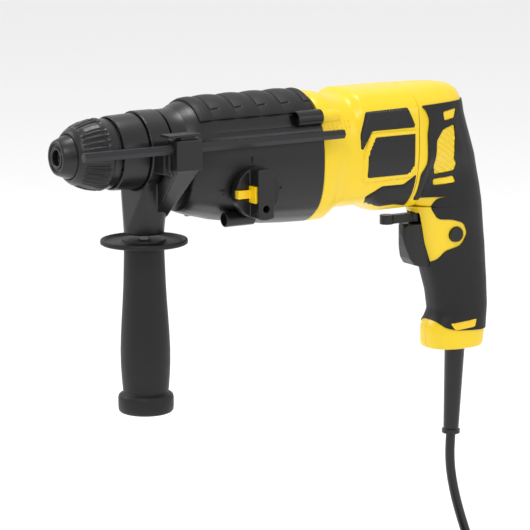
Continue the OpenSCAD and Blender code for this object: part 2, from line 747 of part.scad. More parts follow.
// Side view of the grip, as [x, z]; grow moves its walls outwards
function grip_side(grow) = [
    [291 - grow, -40], [289 - grow, -57], [292 - grow, -66], [295 - grow, -86], [301 - grow, -104],
    [307 - grow, -124], [309.5 - grow, -138], [304 - grow, -147], [303 - grow, -159 - grow],
    [tool_length + 17 + grow, -grip_drop - grow], [tool_length + 20 + grow, -138],
    [tool_length + 20.3 + grow, -122], [tool_length + 19.5 + grow, -104], [tool_length + 17 + grow, -80],
    [tool_length + 13 + grow, -56], [tool_length + 7 + grow, -24], [tool_length + grow, 0],
    [tool_length - 3 + grow, 10], [tool_length - 20, 14], [300, 0]
];
// Front view of the grip, as [half width, z]
function grip_front(grow) = [[14 + grow, 14], [19 + grow, -4], [22 + grow, -40], [21.5 + grow, -60],
    [18.5 + grow, -80], [17 + grow, -104], [16.5 + grow, -124], [17 + grow, -138], [19 + grow, -150],
    [19.5 + grow, -grip_drop - 20]];
module grip_body(grow) {
    intersection() {
        plate_y(-60, 120) polygon(grip_side(grow));
        bar_x(200, 200, both_sides(grip_front(grow)));
    }
}
// Yellow lip that closes the underside in front of the trigger, as [x, z]
lip = [[seam_x + gap, -50], [seam_x + gap, -58.4], [284, -57.6], [291, -60], [296, -66], [304, -64], [304, -50]];
module handle_shell(side) {
    difference() {
        union() {
            difference() {
                union() {
                    handle_top(0);
                    grip_body(0);
                    plate_y(-14, 28) polygon(lip);
                }
                handle_top(-shell_wall);
                grip_body(-shell_wall);
            }
            for (s = screw_spots) rod_y(s[0], -12, s[1], 24, 5.4);
        }
        translate([200, side > 0 ? -60 : 0, -300]) cube([200, 60, 400]);
        // openings for the trigger, the direction lever, the lock-on button and the lead guard
        translate([270, -trigger_half_w - gap, trigger_z[1] - gap])
            cube([37, 2 * (trigger_half_w + gap), lever_z[0] - trigger_z[1] + 3 * gap]);
        rod_y(lock_x, -40, lock_z, 30, lock_button_r + gap);
        guard_place() cylinder(r = 8.2, h = 30, center = true);
        for (s = screw_spots) {
            rod_y(s[0], -11, s[1], 60, screw_r + seat);
            rod_y(s[0], 8, s[1], 60, 4.2);
        }
    }
}
module handle_left() { color("#f7e11d") from_nose() handle_shell(-1); }
module handle_right() { color("#f7e11d") from_nose() handle_shell(1); }

// Dark overmould on the sides of the handle: outlines as [x, z]
rear_cover = [[289, 18.6], [284, 10], [281, -2], [281.5, -22.5], [276.5, -31], [276.5, -50], [330, -50],
    [330, 18]];
grip_cover_outline = [[296, -56.5], [302, -68], [312, -68.5], [323, -72], [327, -80], [322, -88.5],
    [309, -92], [307, -101], [313, -120], [316, -138], [310, -151], [340, -155], [400, -156], [400, -57.5]];
vent_big = [[297, 0], [309, 2.5], [310, -7.5], [309, -12], [309, -23], [312, -26], [311, -31.7],
    [294, -33.5], [289, -26], [290, -7.5]];
vent_top = [[298, 12.5], [313, 14], [310, 6.8], [299, 5.6]];
vent_low = [[294, -37], [311, -35.4], [314, -41], [296, -42.4]];
module grip_cover(side) {
    color("#242426") from_nose() difference() {
        union() {
            intersection() {
                difference() {
                    handle_top(pad_w);
                    handle_top(0);
                }
                plate_y(-60, 120) difference() {
                    polygon(rear_cover);
                    polygon(vent_big);
                    polygon(vent_top);
                    polygon(vent_low);
                }
            }
            intersection() {
                difference() {
                    grip_body(pad_w);
                    grip_body(0);
                }
                plate_y(-60, 120) polygon(grip_cover_outline);
            }
        }
        handle_top(0.01);
        grip_body(0);
        translate([200, side > 0 ? -60 : -gap, -300]) cube([200, 60 + gap, 400]);
        if (side > 0) for (s = screw_spots) rod_y(s[0], 8, s[1], 60, 4.2);
    }
}
module grip_cover_left() { grip_cover(-1); }
module grip_cover_right() { grip_cover(1); }

// ---------- controls in the grip ----------
trigger_outline = [[284, -71.8], [281.5, -74], [281, -79], [282.4, -88], [285, -97], [288.5, -102],
    [293, -103.5], [306, -103.5], [306, -66], [302, -66], [302, -71.8]];
module trigger() {
    color("#1d1d1f") from_nose() intersection() {
        plate_y(-trigger_half_w, 2 * trigger_half_w) polygon(trigger_outline);
        union() {
            translate([289, -trigger_half_w, -110]) cube([30, 2 * trigger_half_w, 60]);
            translate([289, 0, -110]) cylinder(r = trigger_half_w, h = 60);
        }
    }
}
module direction_lever() {
    color("#19191b") from_nose() {
        translate([lever_pivot_x, 0, lever_z[1]]) cylinder(r = 4.5, h = lever_z[0] - lever_z[1]);
        translate([270, -3, lever_z[1]]) cube([lever_pivot_x - 270, 6, lever_z[0] - lever_z[1]]);
        translate([269, 0, lever_z[1]]) cylinder(r = 5, h = lever_z[0] - lever_z[1] + 0.4);
    }
}
lock_travel = 2.5;
module lock_on_button() {
    color("#1b1b1d") from_nose() rod_y(lock_x, -20.6, lock_z, 8, lock_button_r);
}
module switch_module() {
    color("#2c2e33") from_nose() {
        translate([switch_x, -9, -99]) cube([24, 18, 36]);
        translate([switch_x + 4, -6, -63]) cube([10, 12, 5]);
    }
}

// ---------- mains lead ----------
guard_length = norm(guard_top - lead_exit);
guard_tilt = asin((guard_top[0] - lead_exit[0]) / guard_length);
// Places a shape whose Z runs up the guard, with its zero at the guard's top
module guard_place() { translate(guard_top) rotate([0, guard_tilt, 0]) children(); }
module cord_guard() {
    color("#17171a") from_nose() guard_place() rotate_extrude() polygon([
        [0, 6], [9.5, 6], [9.5, 3], [7.9, 3], [7.9, -8], [7.4, -10], [5.7, 4 - guard_length],
        [6.8, 3.4 - guard_length], [6.8, 0.6 - guard_length], [6.2, -guard_length], [0, -guard_length]]);
}
module power_cord() {
    color("#19191b") from_nose() {
        wire(lead_route, lead_r, 10, [0, 1, 0.2]);
        wire(tail_route, lead_r, 10, [0, 1, 0.2]);
    }
}
module cord_coil() {
    color("#19191b") from_nose() translate([coil_centre[0], coil_centre[1], floor_z])
        rotate_extrude() translate([coil_turn_r[0] - lead_r, 0])
            square([coil_turn_r[1] - coil_turn_r[0] + lead_d, layer_pitch * coil_layers]);
}
module plug() {
    from_nose() translate([plug_x, plug_y, plug_z]) rotate([0, 0, 180]) {
        color("#19191b") turned_x([[0, 0], [0, 4.6], [20, 6.4], [22, 9], [30, 15], [34, 17.4], [56, 17.4],
            [58, 16.6], [58, 0]]);
        color("#c9ccd1") mirror_y() rod_x(58, 19, 2.4, 9.5, 0);
    }
}

// ---------- side handle ----------
clamp_r = 27.8;
module side_handle_clamp() {
    color("#1f1f21") from_nose() difference() {
        union() {
            rod_x(clamp_x, clamp_w, clamp_r);
            hull() {
                translate([clamp_x, -19, -26]) cube([clamp_w, 38, 8]);
                translate([handle_x, 0, disc_z + disc_w + 0.3]) cylinder(r = 14, h = 4);
            }
            hull() {
                translate([stop_x + 1, rod_y - 5, -8]) cube([stop_w - 2, 11, 2]);
                translate([handle_x + 2, -12, -46]) cube([10, 12, 8]);
            }
            translate([stop_x, rod_y - 6.5, -9]) cube([stop_w, 14, 21.5]);
            translate([clamp_x + 1, rod_y + 4, -12]) cube([clamp_w - 2, 26, 14]);
        }
        rod_x(clamp_x - 1, clamp_w + 2, collar_r + gap);
        rod_x(clamp_x - 10, 9.9, 27);
        rod_x(clamp_x + clamp_w, 40, clamp_r + 6);
        along_x(stop_x - 1, rod_y, rod_z) rotate([0, 0, 30])
            cylinder(r = (rod_flats / 2 + 0.15) / cos(30), h = stop_w + 2, $fn = 6);
        translate([handle_x, 0, disc_z - 1]) cylinder(r = 4 + fit, h = 30);
        translate([handle_x, 0, -38.6]) cylinder(r = 8, h = 10.4);
        translate([stop_x + 4, rod_y - 4.4, 8]) cube([stop_w - 8, 8.8, 8]);
    }
}
module clamp_bolt() {
    color("#aeb1b6") from_nose() {
        translate([handle_x, 0, -104]) cylinder(r = 4, h = 72);
        translate([handle_x, 0, -38.3]) cylinder(r = 7.4, h = 6, $fn = 6);
    }
}
grip_r = 14.2;
module side_grip() {
    color("#202022") from_nose() translate([handle_x, 0, 0]) difference() {
        union() {
            translate([0, 0, disc_z - disc_w]) rotate_extrude() polygon([[0, 0], [29.6, 0], [guard_disc_r, 0.9],
                [guard_disc_r, disc_w - 0.6], [29.9, disc_w], [28.8, disc_w], [28.2, 1.8], [16, 1.8],
                [15, disc_w], [0, disc_w]]);
            translate([0, 0, disc_z - disc_w]) rotate_extrude() polygon([[0, 0.01], [grip_r, 0.01], [grip_r, -6],
                [14.6, -30], [16, -52], [17.4, -74], [17.2, -88], [16, 16 - side_grip_length],
                [15.9, 14.5 - side_grip_length], [18.6, 13 - side_grip_length], [19.5, 9 - side_grip_length],
                [19.5, 3 - side_grip_length], [17, -side_grip_length], [0, -side_grip_length]]);
        }
        translate([0, 0, -106]) cylinder(r = 4 + fit, h = 60);
    }
}
module depth_stop_button() {
    color("#202022") from_nose() {
        translate([stop_x + 4 + gap, rod_y - 4.4 + gap, 10.6]) cube([stop_w - 8 - 2 * gap, 8.8 - 2 * gap, 4.4]);
        translate([stop_x - 6, rod_y - 6, 14.6]) cube([stop_w + 5, 12, 1.8]);
    }
}
module depth_rod() {
    color("#77797e") from_nose() along_x(rod_x, rod_y, rod_z) rotate([0, 0, 30])
        cylinder(r = rod_flats / 2 / cos(30), h = rod_length, $fn = 6);
}

dust_cap();
locking_sleeve();
lock_ring();
sleeve_spring();
locking_ball_top();
locking_ball_bottom();
spindle();
spindle_gear();
clutch_spring();
gearcase_bearings();
front_seal();
impact_bolt();
striker();
piston();
piston_pin();
wobble_ring();
wobble_hub();
intermediate_shaft();
intermediate_gear();
shift_fork();
spindle_carrier();
gear_housing();
nose_ring();
top_armour();
bearing_bulkhead();
case_screws();
selector_knob();
selector_button();
field_core();
field_coils();
armature_shaft();
armature_core();
armature_windings();
commutator();
cooling_fan();
motor_bearings();
brush_left();
brush_right();
brush_holders();
motor_bracket();
motor_housing();
side_pads();
label_plates();
handle_left();
handle_right();
grip_cover_left();
grip_cover_right();
trigger();
direction_lever();
lock_on_button();
switch_module();
cord_guard();
power_cord();
cord_coil();
plug();
side_handle_clamp();
side_grip();
clamp_bolt();
depth_rod();
depth_stop_button();
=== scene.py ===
"""Looks of a corded rotary hammer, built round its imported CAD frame."""

import json
import logging
import math
from dataclasses import dataclass, field
from enum import Enum
from typing import Callable, Iterable, Sequence

import bpy
from mathutils import Matrix, Vector
from mathutils.geometry import delaunay_2d_cdt


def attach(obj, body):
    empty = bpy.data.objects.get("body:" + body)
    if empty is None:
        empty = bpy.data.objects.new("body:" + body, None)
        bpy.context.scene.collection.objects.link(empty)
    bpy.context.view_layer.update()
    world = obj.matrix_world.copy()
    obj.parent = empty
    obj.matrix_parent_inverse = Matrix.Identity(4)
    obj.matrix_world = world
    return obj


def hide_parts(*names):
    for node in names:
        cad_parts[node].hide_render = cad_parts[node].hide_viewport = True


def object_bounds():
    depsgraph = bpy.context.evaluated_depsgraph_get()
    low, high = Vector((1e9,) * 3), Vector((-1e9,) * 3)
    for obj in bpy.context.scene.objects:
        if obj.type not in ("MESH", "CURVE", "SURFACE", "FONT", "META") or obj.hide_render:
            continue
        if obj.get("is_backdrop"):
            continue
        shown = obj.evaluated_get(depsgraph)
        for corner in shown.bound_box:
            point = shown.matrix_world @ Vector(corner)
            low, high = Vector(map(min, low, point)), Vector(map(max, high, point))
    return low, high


log = logging.getLogger("rotary_hammer")

MM = 0.001
NOSE_X = -332.0
Point2 = tuple[float, float]
Point3 = tuple[float, float, float]
Ring = list[Point3]


# ---------------------------------------------------------------- finishes
class Grain(Enum):
    """Surface patterns that a finish can carry."""

    FINE = "fine moulded grain"
    LEATHER = "coarse moulded grain"
    HATCH = "crossed diagonal grooves"
    TURNED = "fine lathe rings round X"
    CAST = "cast skin"
    STACK = "edges of thin sheets along X"
    WIRE = "wound wire"
    SMOOTH = "smooth film"


@dataclass(frozen=True)
class Finish:
    """One material: its colour, gloss and grain."""

    name: str
    slot: str
    colour: tuple[float, float, float]
    roughness: float
    grain: Grain = Grain.FINE
    depth: float = 0.00004
    metallic: float = 0.0
    coat: float = 0.0
    spread: float = 0.12
    specular: float = 0.5

    def material(self) -> bpy.types.Material:
        """Makes the material once and gives it back on later calls."""
        known = bpy.data.materials.get(self.name)
        return known if known else FinishBuilder(self).build()


class FinishBuilder:
    """Turns a finish into shader nodes."""

    def __init__(self, finish: Finish) -> None:
        """Starts an empty material for the finish."""
        self.finish = finish
        self.material = bpy.data.materials.new(finish.name)
        self.material.use_nodes = True
        self.tree = self.material.node_tree
        self.shader = self.tree.nodes["Principled BSDF"]
        self.coords = self.tree.nodes.new("ShaderNodeTexCoord").outputs["Object"]

    def link(self, output: bpy.types.NodeSocket, socket: bpy.types.NodeSocket) -> None:
        """Joins two sockets."""
        self.tree.links.new(output, socket)

    def maths(self, kind: str, a: object, b: object = None) -> bpy.types.NodeSocket:
        """Adds a math node.

        Args:
            kind: the operation's name.
            a: first value or socket.
            b: second value or socket.

        Returns:
            The node's output socket.
        """
        node = self.tree.nodes.new("ShaderNodeMath")
        node.operation = kind
        for socket, value in zip(node.inputs, (a, b)):
            if isinstance(value, (int, float)):
                socket.default_value = value
            elif value is not None:
                self.link(value, socket)
        return node.outputs[0]

    def noise(self, scale: float, detail: float = 3.0) -> bpy.types.NodeSocket:
        """Adds a noise of that many lumps a metre and gives its height."""
        node = self.tree.nodes.new("ShaderNodeTexNoise")
        node.inputs["Scale"].default_value = scale
        node.inputs["Detail"].default_value = detail
        self.link(self.coords, node.inputs["Vector"])
        return node.outputs["Fac"]

    def split(self) -> tuple[bpy.types.NodeSocket, bpy.types.NodeSocket, bpy.types.NodeSocket]:
        """Splits the object's coordinates into X, Y and Z."""
        node = self.tree.nodes.new("ShaderNodeSeparateXYZ")
        self.link(self.coords, node.inputs[0])
        return tuple(node.outputs)

    def stripes(self, value: bpy.types.NodeSocket, pitch: float) -> bpy.types.NodeSocket:
        """Makes a triangle wave from 0 to 1 along a coordinate."""
        return self.maths("PINGPONG", self.maths("MULTIPLY", value, 2 / pitch), 1.0)

    def height(self) -> bpy.types.NodeSocket:
        """Makes the grain's height field."""
        kind = self.finish.grain
        if kind is Grain.HATCH:
            x, _, z = self.split()
            up = self.maths("ADD", x, self.maths("MULTIPLY", z, 0.62))
            down = self.maths("SUBTRACT", x, self.maths("MULTIPLY", z, 0.62))
            return self.maths("MINIMUM", self.stripes(up, 0.0023), self.stripes(down, 0.0023))
        if kind is Grain.STACK:
            return self.stripes(self.split()[0], 0.0008)
        if kind is Grain.TURNED:
            return self.maths("ADD", self.stripes(self.split()[0], 0.0004), self.noise(900))
        if kind is Grain.WIRE:
            x, y, z = self.split()
            return self.stripes(self.maths("ADD", y, z), 0.0009)
        scale = {Grain.FINE: 3200, Grain.LEATHER: 1500, Grain.CAST: 700, Grain.SMOOTH: 90}[kind]
        return self.noise(scale, 4.0)

    def build(self) -> bpy.types.Material:
        """Wires colour, roughness and bump, and gives the material."""
        f = self.finish
        for name, value in (("Metallic", f.metallic), ("Coat Weight", f.coat),
                            ("Specular IOR Level", f.specular), ("Coat Roughness", 0.12)):
            self.shader.inputs[name].default_value = value
        height = self.height()
        broad = self.noise(38, 5.0)
        ramp = self.tree.nodes.new("ShaderNodeMix")
        ramp.data_type = "RGBA"
        low, high = 1 - f.spread, 1 + f.spread
        ramp.inputs["A"].default_value = (*(c * low for c in f.colour), 1)
        ramp.inputs["B"].default_value = (*(min(1, c * high) for c in f.colour), 1)
        mixed = self.maths("ADD", self.maths("MULTIPLY", broad, 0.6), self.maths("MULTIPLY", height, 0.4))
        self.link(mixed, ramp.inputs["Factor"])
        self.link(ramp.outputs["Result"], self.shader.inputs["Base Color"])
        rough = self.maths("ADD", self.maths("MULTIPLY", self.noise(160, 3.0), 0.14), f.roughness - 0.07)
        self.link(rough, self.shader.inputs["Roughness"])
        bump = self.tree.nodes.new("ShaderNodeBump")
        bump.inputs["Strength"].default_value = 0.7
        bump.inputs["Distance"].default_value = f.depth
        self.link(height, bump.inputs["Height"])
        self.link(bump.outputs["Normal"], self.shader.inputs["Normal"])
        self.material.diffuse_color = (*f.colour, 1)
        return self.material


YELLOW = Finish("yellow_moulding", "yellow_shell", (0.8, 0.56, 0.003), 0.34, Grain.FINE, 0.00002, coat=0.08,
    spread=0.03)
BLACK = Finish("black_moulding", "black_shell", (0.0065, 0.0065, 0.0072), 0.34, Grain.FINE, 0.00004,
    specular=0.42)
RUBBER = Finish("soft_grip_rubber", "soft_rubber", (0.0075, 0.0075, 0.0085), 0.5, Grain.LEATHER, 0.00006,
    specular=0.3)
HATCHED = Finish("hatched_rubber", "soft_rubber", (0.008, 0.008, 0.009), 0.42, Grain.HATCH, 0.0009,
    specular=0.4)
LEAD = Finish("lead_sheath", "lead_rubber", (0.0065, 0.0065, 0.007), 0.34, Grain.SMOOTH, 0.00002,
    specular=0.35, coat=0.1)
LABEL = Finish("label_film", "label", (0.006, 0.006, 0.0065), 0.26, Grain.SMOOTH, 0.00001, specular=0.4)
BUTTON = Finish("yellow_button_moulding", "yellow_button", (0.82, 0.53, 0.003), 0.34, Grain.FINE, 0.00002,
    spread=0.03)
STEEL = Finish("turned_steel", "turned_steel", (0.42, 0.42, 0.43), 0.33, Grain.TURNED, 0.00003, metallic=1.0)
ROD = Finish("blackened_steel", "turned_steel", (0.035, 0.035, 0.038), 0.36, Grain.CAST, 0.00002,
    metallic=0.7)
BRIGHT = Finish("polished_steel", "bright_steel", (0.7, 0.7, 0.72), 0.2, Grain.SMOOTH, 0.00001, metallic=1.0)
ALLOY = Finish("cast_alloy", "cast_alloy", (0.52, 0.53, 0.55), 0.48, Grain.CAST, 0.0002, metallic=1.0)
CORE = Finish("sheet_stack", "core_steel", (0.2, 0.2, 0.21), 0.5, Grain.STACK, 0.0002, metallic=1.0)
COPPER = Finish("enamelled_copper", "copper", (0.62, 0.26, 0.1), 0.34, Grain.WIRE, 0.0003, metallic=1.0)
CARBON = Finish("pressed_carbon", "carbon", (0.045, 0.045, 0.05), 0.6, Grain.CAST, 0.0001)
SLOT_FINISH = {f.slot: f for f in (YELLOW, BLACK, RUBBER, LEAD, LABEL, BUTTON, STEEL, BRIGHT, ALLOY, CORE,
    COPPER, CARBON)}


# ---------------------------------------------------------------- mesh work
def from_nose(x: float, y: float, z: float) -> Point3:
    """Gives the frame's point, in metres, for a station in millimetres from the nose face."""
    return ((x + NOSE_X) * MM, y * MM, z * MM)


def add_mesh(name: str, points: Sequence[Point3], faces: Sequence[Sequence[int]]) -> bpy.types.Object:
    """Makes a mesh object.

    Args:
        name: the object's name.
        points: vertices in millimetres from the nose face.
        faces: vertex numbers of each face.

    Returns:
        The object, linked to the scene.
    """
    mesh = bpy.data.meshes.new(name)
    mesh.from_pydata([from_nose(*p) for p in points], [], [list(f) for f in faces])
    mesh.validate()
    obj = bpy.data.objects.new(name, mesh)
    bpy.context.scene.collection.objects.link(obj)
    return obj


def loft(name: str, rings: Sequence[Ring], close_ends: bool = True, loop: bool = False) -> bpy.types.Object:
    """Skins closed rings of points, from the first to the last.

    Args:
        name: the object's name.
        rings: rings with the same number of points.
        close_ends: caps the first and the last ring.
        loop: joins the last ring to the first one.

    Returns:
        The object, with its faces looking outwards.
    """
    n, m = len(rings[0]), len(rings)
    faces: list[list[int]] = []
    for i in range(m if loop else m - 1):
        a, b = i * n, ((i + 1) % m) * n
        faces += [[a + j, a + (j + 1) % n, b + (j + 1) % n, b + j] for j in range(n)]
    if close_ends and not loop:
        faces += [list(range(n - 1, -1, -1)), list(range((m - 1) * n, m * n))]
    obj = add_mesh(name, [p for r in rings for p in r], faces)
    outwards(obj)
    return obj


def outwards(obj: bpy.types.Object) -> None:
    """Turns every face of a closed mesh outwards."""
    import bmesh

    work = bmesh.new()
    work.from_mesh(obj.data)
    bmesh.ops.remove_doubles(work, verts=work.verts, dist=1e-6)
    bmesh.ops.recalc_face_normals(work, faces=work.faces)
    work.to_mesh(obj.data)
    work.free()


def turned_x(name: str, profile: Sequence[Point2], around: Point2 = (0.0, 0.0), steps: int = 96,
             swell: Callable[[float, float], float] = lambda x, a: 1.0) -> bpy.types.Object:
    """Turns a closed profile of [station, radius] points round an axis along X.

    Args:
        name: the object's name.
        profile: the closed outline, with no point on the axis.
        around: Y and Z of the axis.
        steps: points round the axis.
        swell: factor on the radius at a station and an angle.

    Returns:
        The turned object.
    """
    rings = []
    for i in range(steps):
        a = 2 * math.pi * i / steps
        rings.append([(x, around[0] + r * swell(x, a) * math.cos(a),
            around[1] + r * swell(x, a) * math.sin(a))
                      for x, r in profile])
    return loft(name, rings, loop=True)


def turned_z(name: str, profile: Sequence[Point2], around: Point2, steps: int = 96,
             swell: Callable[[float, float], float] = lambda z, a: 1.0) -> bpy.types.Object:
    """Turns a closed profile of [height, radius] points round an axis along Z at X and Y."""
    rings = []
    for i in range(steps):
        a = 2 * math.pi * i / steps
        rings.append([(around[0] + r * swell(z, a) * math.cos(a), around[1] + r * swell(z, a) * math.sin(a),
            z)
                      for z, r in profile])
    return loft(name, rings, loop=True)


def prism(name: str, outline: Sequence[Point2], low: float, high: float, axis: str = "y") -> bpy.types.Object:
    """Extrudes an outline along an axis.

    Args:
        name: the object's name.
        outline: points in the plane across the axis, in the order of the other two axes.
        low: where the prism starts.
        high: where it ends.
        axis: x, y or z.

    Returns:
        The prism.
    """
    place = {"x": lambda p, t: (t, p[0], p[1]), "y": lambda p, t: (p[0], t, p[1]), "z": lambda p,
        t: (p[0], p[1], t)}[axis]
    return loft(name, [[place(p, low) for p in outline], [place(p, high) for p in outline]])


def bake_modifiers(obj: bpy.types.Object) -> bpy.types.Object:
    """Replaces an object's mesh by the one its modifiers make."""
    graph = bpy.context.evaluated_depsgraph_get()
    graph.update()
    made = bpy.data.meshes.new_from_object(obj.evaluated_get(graph))
    obj.modifiers.clear()
    obj.data = made
    return obj


def combine(obj: bpy.types.Object, others: Iterable[bpy.types.Object], how: str) -> bpy.types.Object:
    """Adds, cuts or intersects closed meshes.

    Args:
        obj: the mesh that is kept.
        others: the meshes that are used up.
        how: UNION, DIFFERENCE or INTERSECT.

    Returns:
        The changed object.
    """
    for other in others:
        step = obj.modifiers.new("join", "BOOLEAN")
        step.operation, step.solver, step.object = how, "MANIFOLD", other
        bake_modifiers(obj)
        bpy.data.objects.remove(other)
    return obj


def dress(obj: bpy.types.Object, finish: Finish, body: str, replaces: Sequence[str] = (),
    angle: float = 32.0) -> bpy.types.Object:
    """Gives a piece its finish and its body, and hides the CAD nodes that it stands for.

    Args:
        obj: the piece.
        finish: its finish.
        body: the CAD body it moves with.
        replaces: CAD nodes it stands for.
        angle: edges sharper than this stay sharp.

    Returns:
        The piece.
    """
    obj.data.materials.clear()
    obj.data.materials.append(finish.material())
    if obj.type == "MESH":
        obj.data.shade_smooth()
        obj.data.set_sharp_from_angle(angle=math.radians(angle))
    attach(obj, body)
    if replaces:
        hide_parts(*replaces)
    log.info("%s rides on %s", obj.name, body)
    return obj


def smooth_line(points: Sequence[Point3], parts: int) -> list[Point3]:
    """Runs a smooth line through points, with each span cut into parts."""
    out: list[Point3] = []
    ends = [points[0], *points, points[-1]]
    for i in range(1, len(ends) - 2):
        p0, p1, p2, p3 = (Vector(p) for p in ends[i - 1:i + 3])
        for k in range(parts):
            t = k / parts
            out.append(tuple(0.5 * (2 * p1 + (p2 - p0) * t + (2 * p0 - 5 * p1 + 4 * p2 - p3) * t * t
                                    + (3 * p1 - p0 - 3 * p2 + p3) * t ** 3)))
    return out + [tuple(points[-1])]


def between(table: Sequence[tuple[float, ...]], at: float) -> tuple[float, ...]:
    """Reads a table of rows (place, value, ...) at a place, in straight lines between its rows."""
    if at <= table[0][0]:
        return table[0][1:]
    for low, high in zip(table, table[1:]):
        if at <= high[0]:
            t = (at - low[0]) / (high[0] - low[0])
            return tuple(a + (b - a) * t for a, b in zip(low[1:], high[1:]))
    return table[-1][1:]


def ease(t: float) -> float:
    """Runs smoothly from 0 to 1."""
    t = min(1.0, max(0.0, t))
    return t * t * (3 - 2 * t)


def soften(node: str, voxel: float, passes: int, name: str) -> bpy.types.Object:
    """Copies a CAD node's mesh and rounds its edges as moulding does.

    Args:
        node: the CAD node.
        voxel: size of the new mesh's cells in millimetres.
        passes: smoothing passes.
        name: the new object's name.

    Returns:
        The rounded copy.
    """
    obj = bpy.data.objects.new(name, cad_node(node).data.copy())
    bpy.context.scene.collection.objects.link(obj)
    outwards(obj)
    remesh = obj.modifiers.new("cells", "REMESH")
    remesh.mode, remesh.voxel_size, remesh.adaptivity = "VOXEL", voxel * MM, 0.0
    relax = obj.modifiers.new("relax", "SMOOTH")
    relax.factor, relax.iterations = 0.5, passes
    return bake_modifiers(obj)


def circle(centre: Point2, radius: float, steps: int) -> list[Point2]:
    """Makes the outline of a circle."""
    turns = [2 * math.pi * k / steps for k in range(steps)]
    return [(centre[0] + radius * math.cos(a), centre[1] + radius * math.sin(a)) for a in turns]


def inside(point: Point2, outline: Sequence[Point2]) -> bool:
    """Tells whether a point lies in an outline."""
    hit = False
    for (ax, ay), (bx, by) in zip(outline, [*outline[1:], outline[0]]):
        if (ay > point[1]) != (by > point[1]) and point[0] < (bx - ax) * (point[1] - ay) / (by - ay) + ax:
            hit = not hit
    return hit


def edge_distance(point: Point2, outline: Sequence[Point2]) -> float:
    """Gives the distance from a point to an outline."""
    best = 1e9
    for (ax, ay), (bx, by) in zip(outline, [*outline[1:], outline[0]]):
        dx, dy = bx - ax, by - ay
        t = min(1.0, max(0.0, ((point[0] - ax) * dx + (point[1] - ay) * dy) / (dx * dx + dy * dy)))
        best = min(best, math.hypot(point[0] - ax - t * dx, point[1] - ay - t * dy))
    return best


def resampled(outline: Sequence[Point2], step: float) -> list[Point2]:
    """Cuts an outline's sides into equal parts of about one step."""
    out: list[Point2] = []
    for a, b in zip(outline, [*outline[1:], outline[0]]):
        parts = max(1, round(math.dist(a, b) / step))
        out += [(a[0] + (b[0] - a[0]) * k / parts, a[1] + (b[1] - a[1]) * k / parts) for k in range(parts)]
    return out


def rounded(outline: Sequence[Point2], radius: float) -> list[Point2]:
    """Rounds an outline's corners with short arcs."""
    out: list[Point2] = []
    n = len(outline)
    for i in range(n):
        p, a, b = (Vector(outline[k % n]) for k in (i, i - 1, i + 1))
        cut = min(radius, (a - p).length * 0.45, (b - p).length * 0.45)
        start, end = p + (a - p).normalized() * cut, p + (b - p).normalized() * cut
        out += [tuple((1 - t) ** 2 * start + 2 * t * (1 - t) * p + t * t * end)
            for t in (0, 0.25, 0.5, 0.75, 1)]
    return out


def panel(name: str, outline: Sequence[Point2], surface: Callable[[float, float], float], side: int,
          rise: Callable[[float, float, float], float], sink: float, step: float = 1.3) -> bpy.types.Object:
    """Lays a thin panel on a side surface.

    Args:
        name: the object's name.
        outline: the panel's outline in X and Z.
        surface: half width of the body at X and Z.
        side: -1 or 1, the side in Y.
        rise: the panel's height over the surface, from X, Z and the distance to its edge.
        sink: how deep it goes into the surface.
        step: spacing of its points.

    Returns:
        The panel as a closed mesh.
    """
    rim = resampled(outline, step)
    points = list(rim)
    low = [min(p[k] for p in rim) for k in (0, 1)]
    high = [max(p[k] for p in rim) for k in (0, 1)]
    for i in range(int((high[0] - low[0]) / step) + 1):
        for j in range(int((high[1] - low[1]) / step) + 1):
            p = (low[0] + (i + 0.5) * step, low[1] + (j + 0.5) * step)
            if inside(p, outline) and edge_distance(p, outline) > 0.45 * step:
                points.append(p)
    edges = [(i, (i + 1) % len(rim)) for i in range(len(rim))]
    flat, _, cells, *_ = delaunay_2d_cdt([Vector(p) for p in points], edges, [], 0, 1e-5)
    cells = [c for c in cells if inside(tuple(sum((flat[i] for i in c), Vector((0, 0))) / len(c)), outline)]
    top = [(p[0], side * (surface(*p) + rise(p[0], p[1], edge_distance(p, outline))), p[1]) for p in flat]
    base = [(p[0], side * (surface(*p) - sink), p[1]) for p in flat]
    n = len(flat)
    use: dict[tuple[int, int], int] = {}
    for c in cells:
        for a, b in zip(c, [*c[1:], c[0]]):
            use[(a, b)] = use.get((a, b), 0) + 1
    border = [e for e in use if (e[1], e[0]) not in use]
    faces = [list(c) for c in cells] + [[i + n for i in reversed(c)] for c in cells]
    faces += [[b, a, a + n, b + n] for a, b in border]
    obj = add_mesh(name, top + base, faces)
    outwards(obj)
    return obj


def domed(height: float, radius: float) -> Callable[[float, float, float], float]:
    """Makes a panel height with a rounded edge."""
    def rise(_x: float, _z: float, edge: float) -> float:
        """Height at a distance from the edge."""
        t = min(1.0, edge / radius)
        return height * math.sqrt(max(0.0, 1 - (1 - t) ** 2))
    return rise


def vent_ribs(x: float, z: float, edge: float) -> float:
    """Gives the height of a vent's slanting ribs."""
    wave = 0.5 + 0.5 * math.cos(2 * math.pi * (0.62 * x + z + 0.012 * (x - 300) ** 2) / 4.4)
    return 0.15 + 0.75 * ease((wave - 0.25) / 0.4) * ease(edge / 1.0)


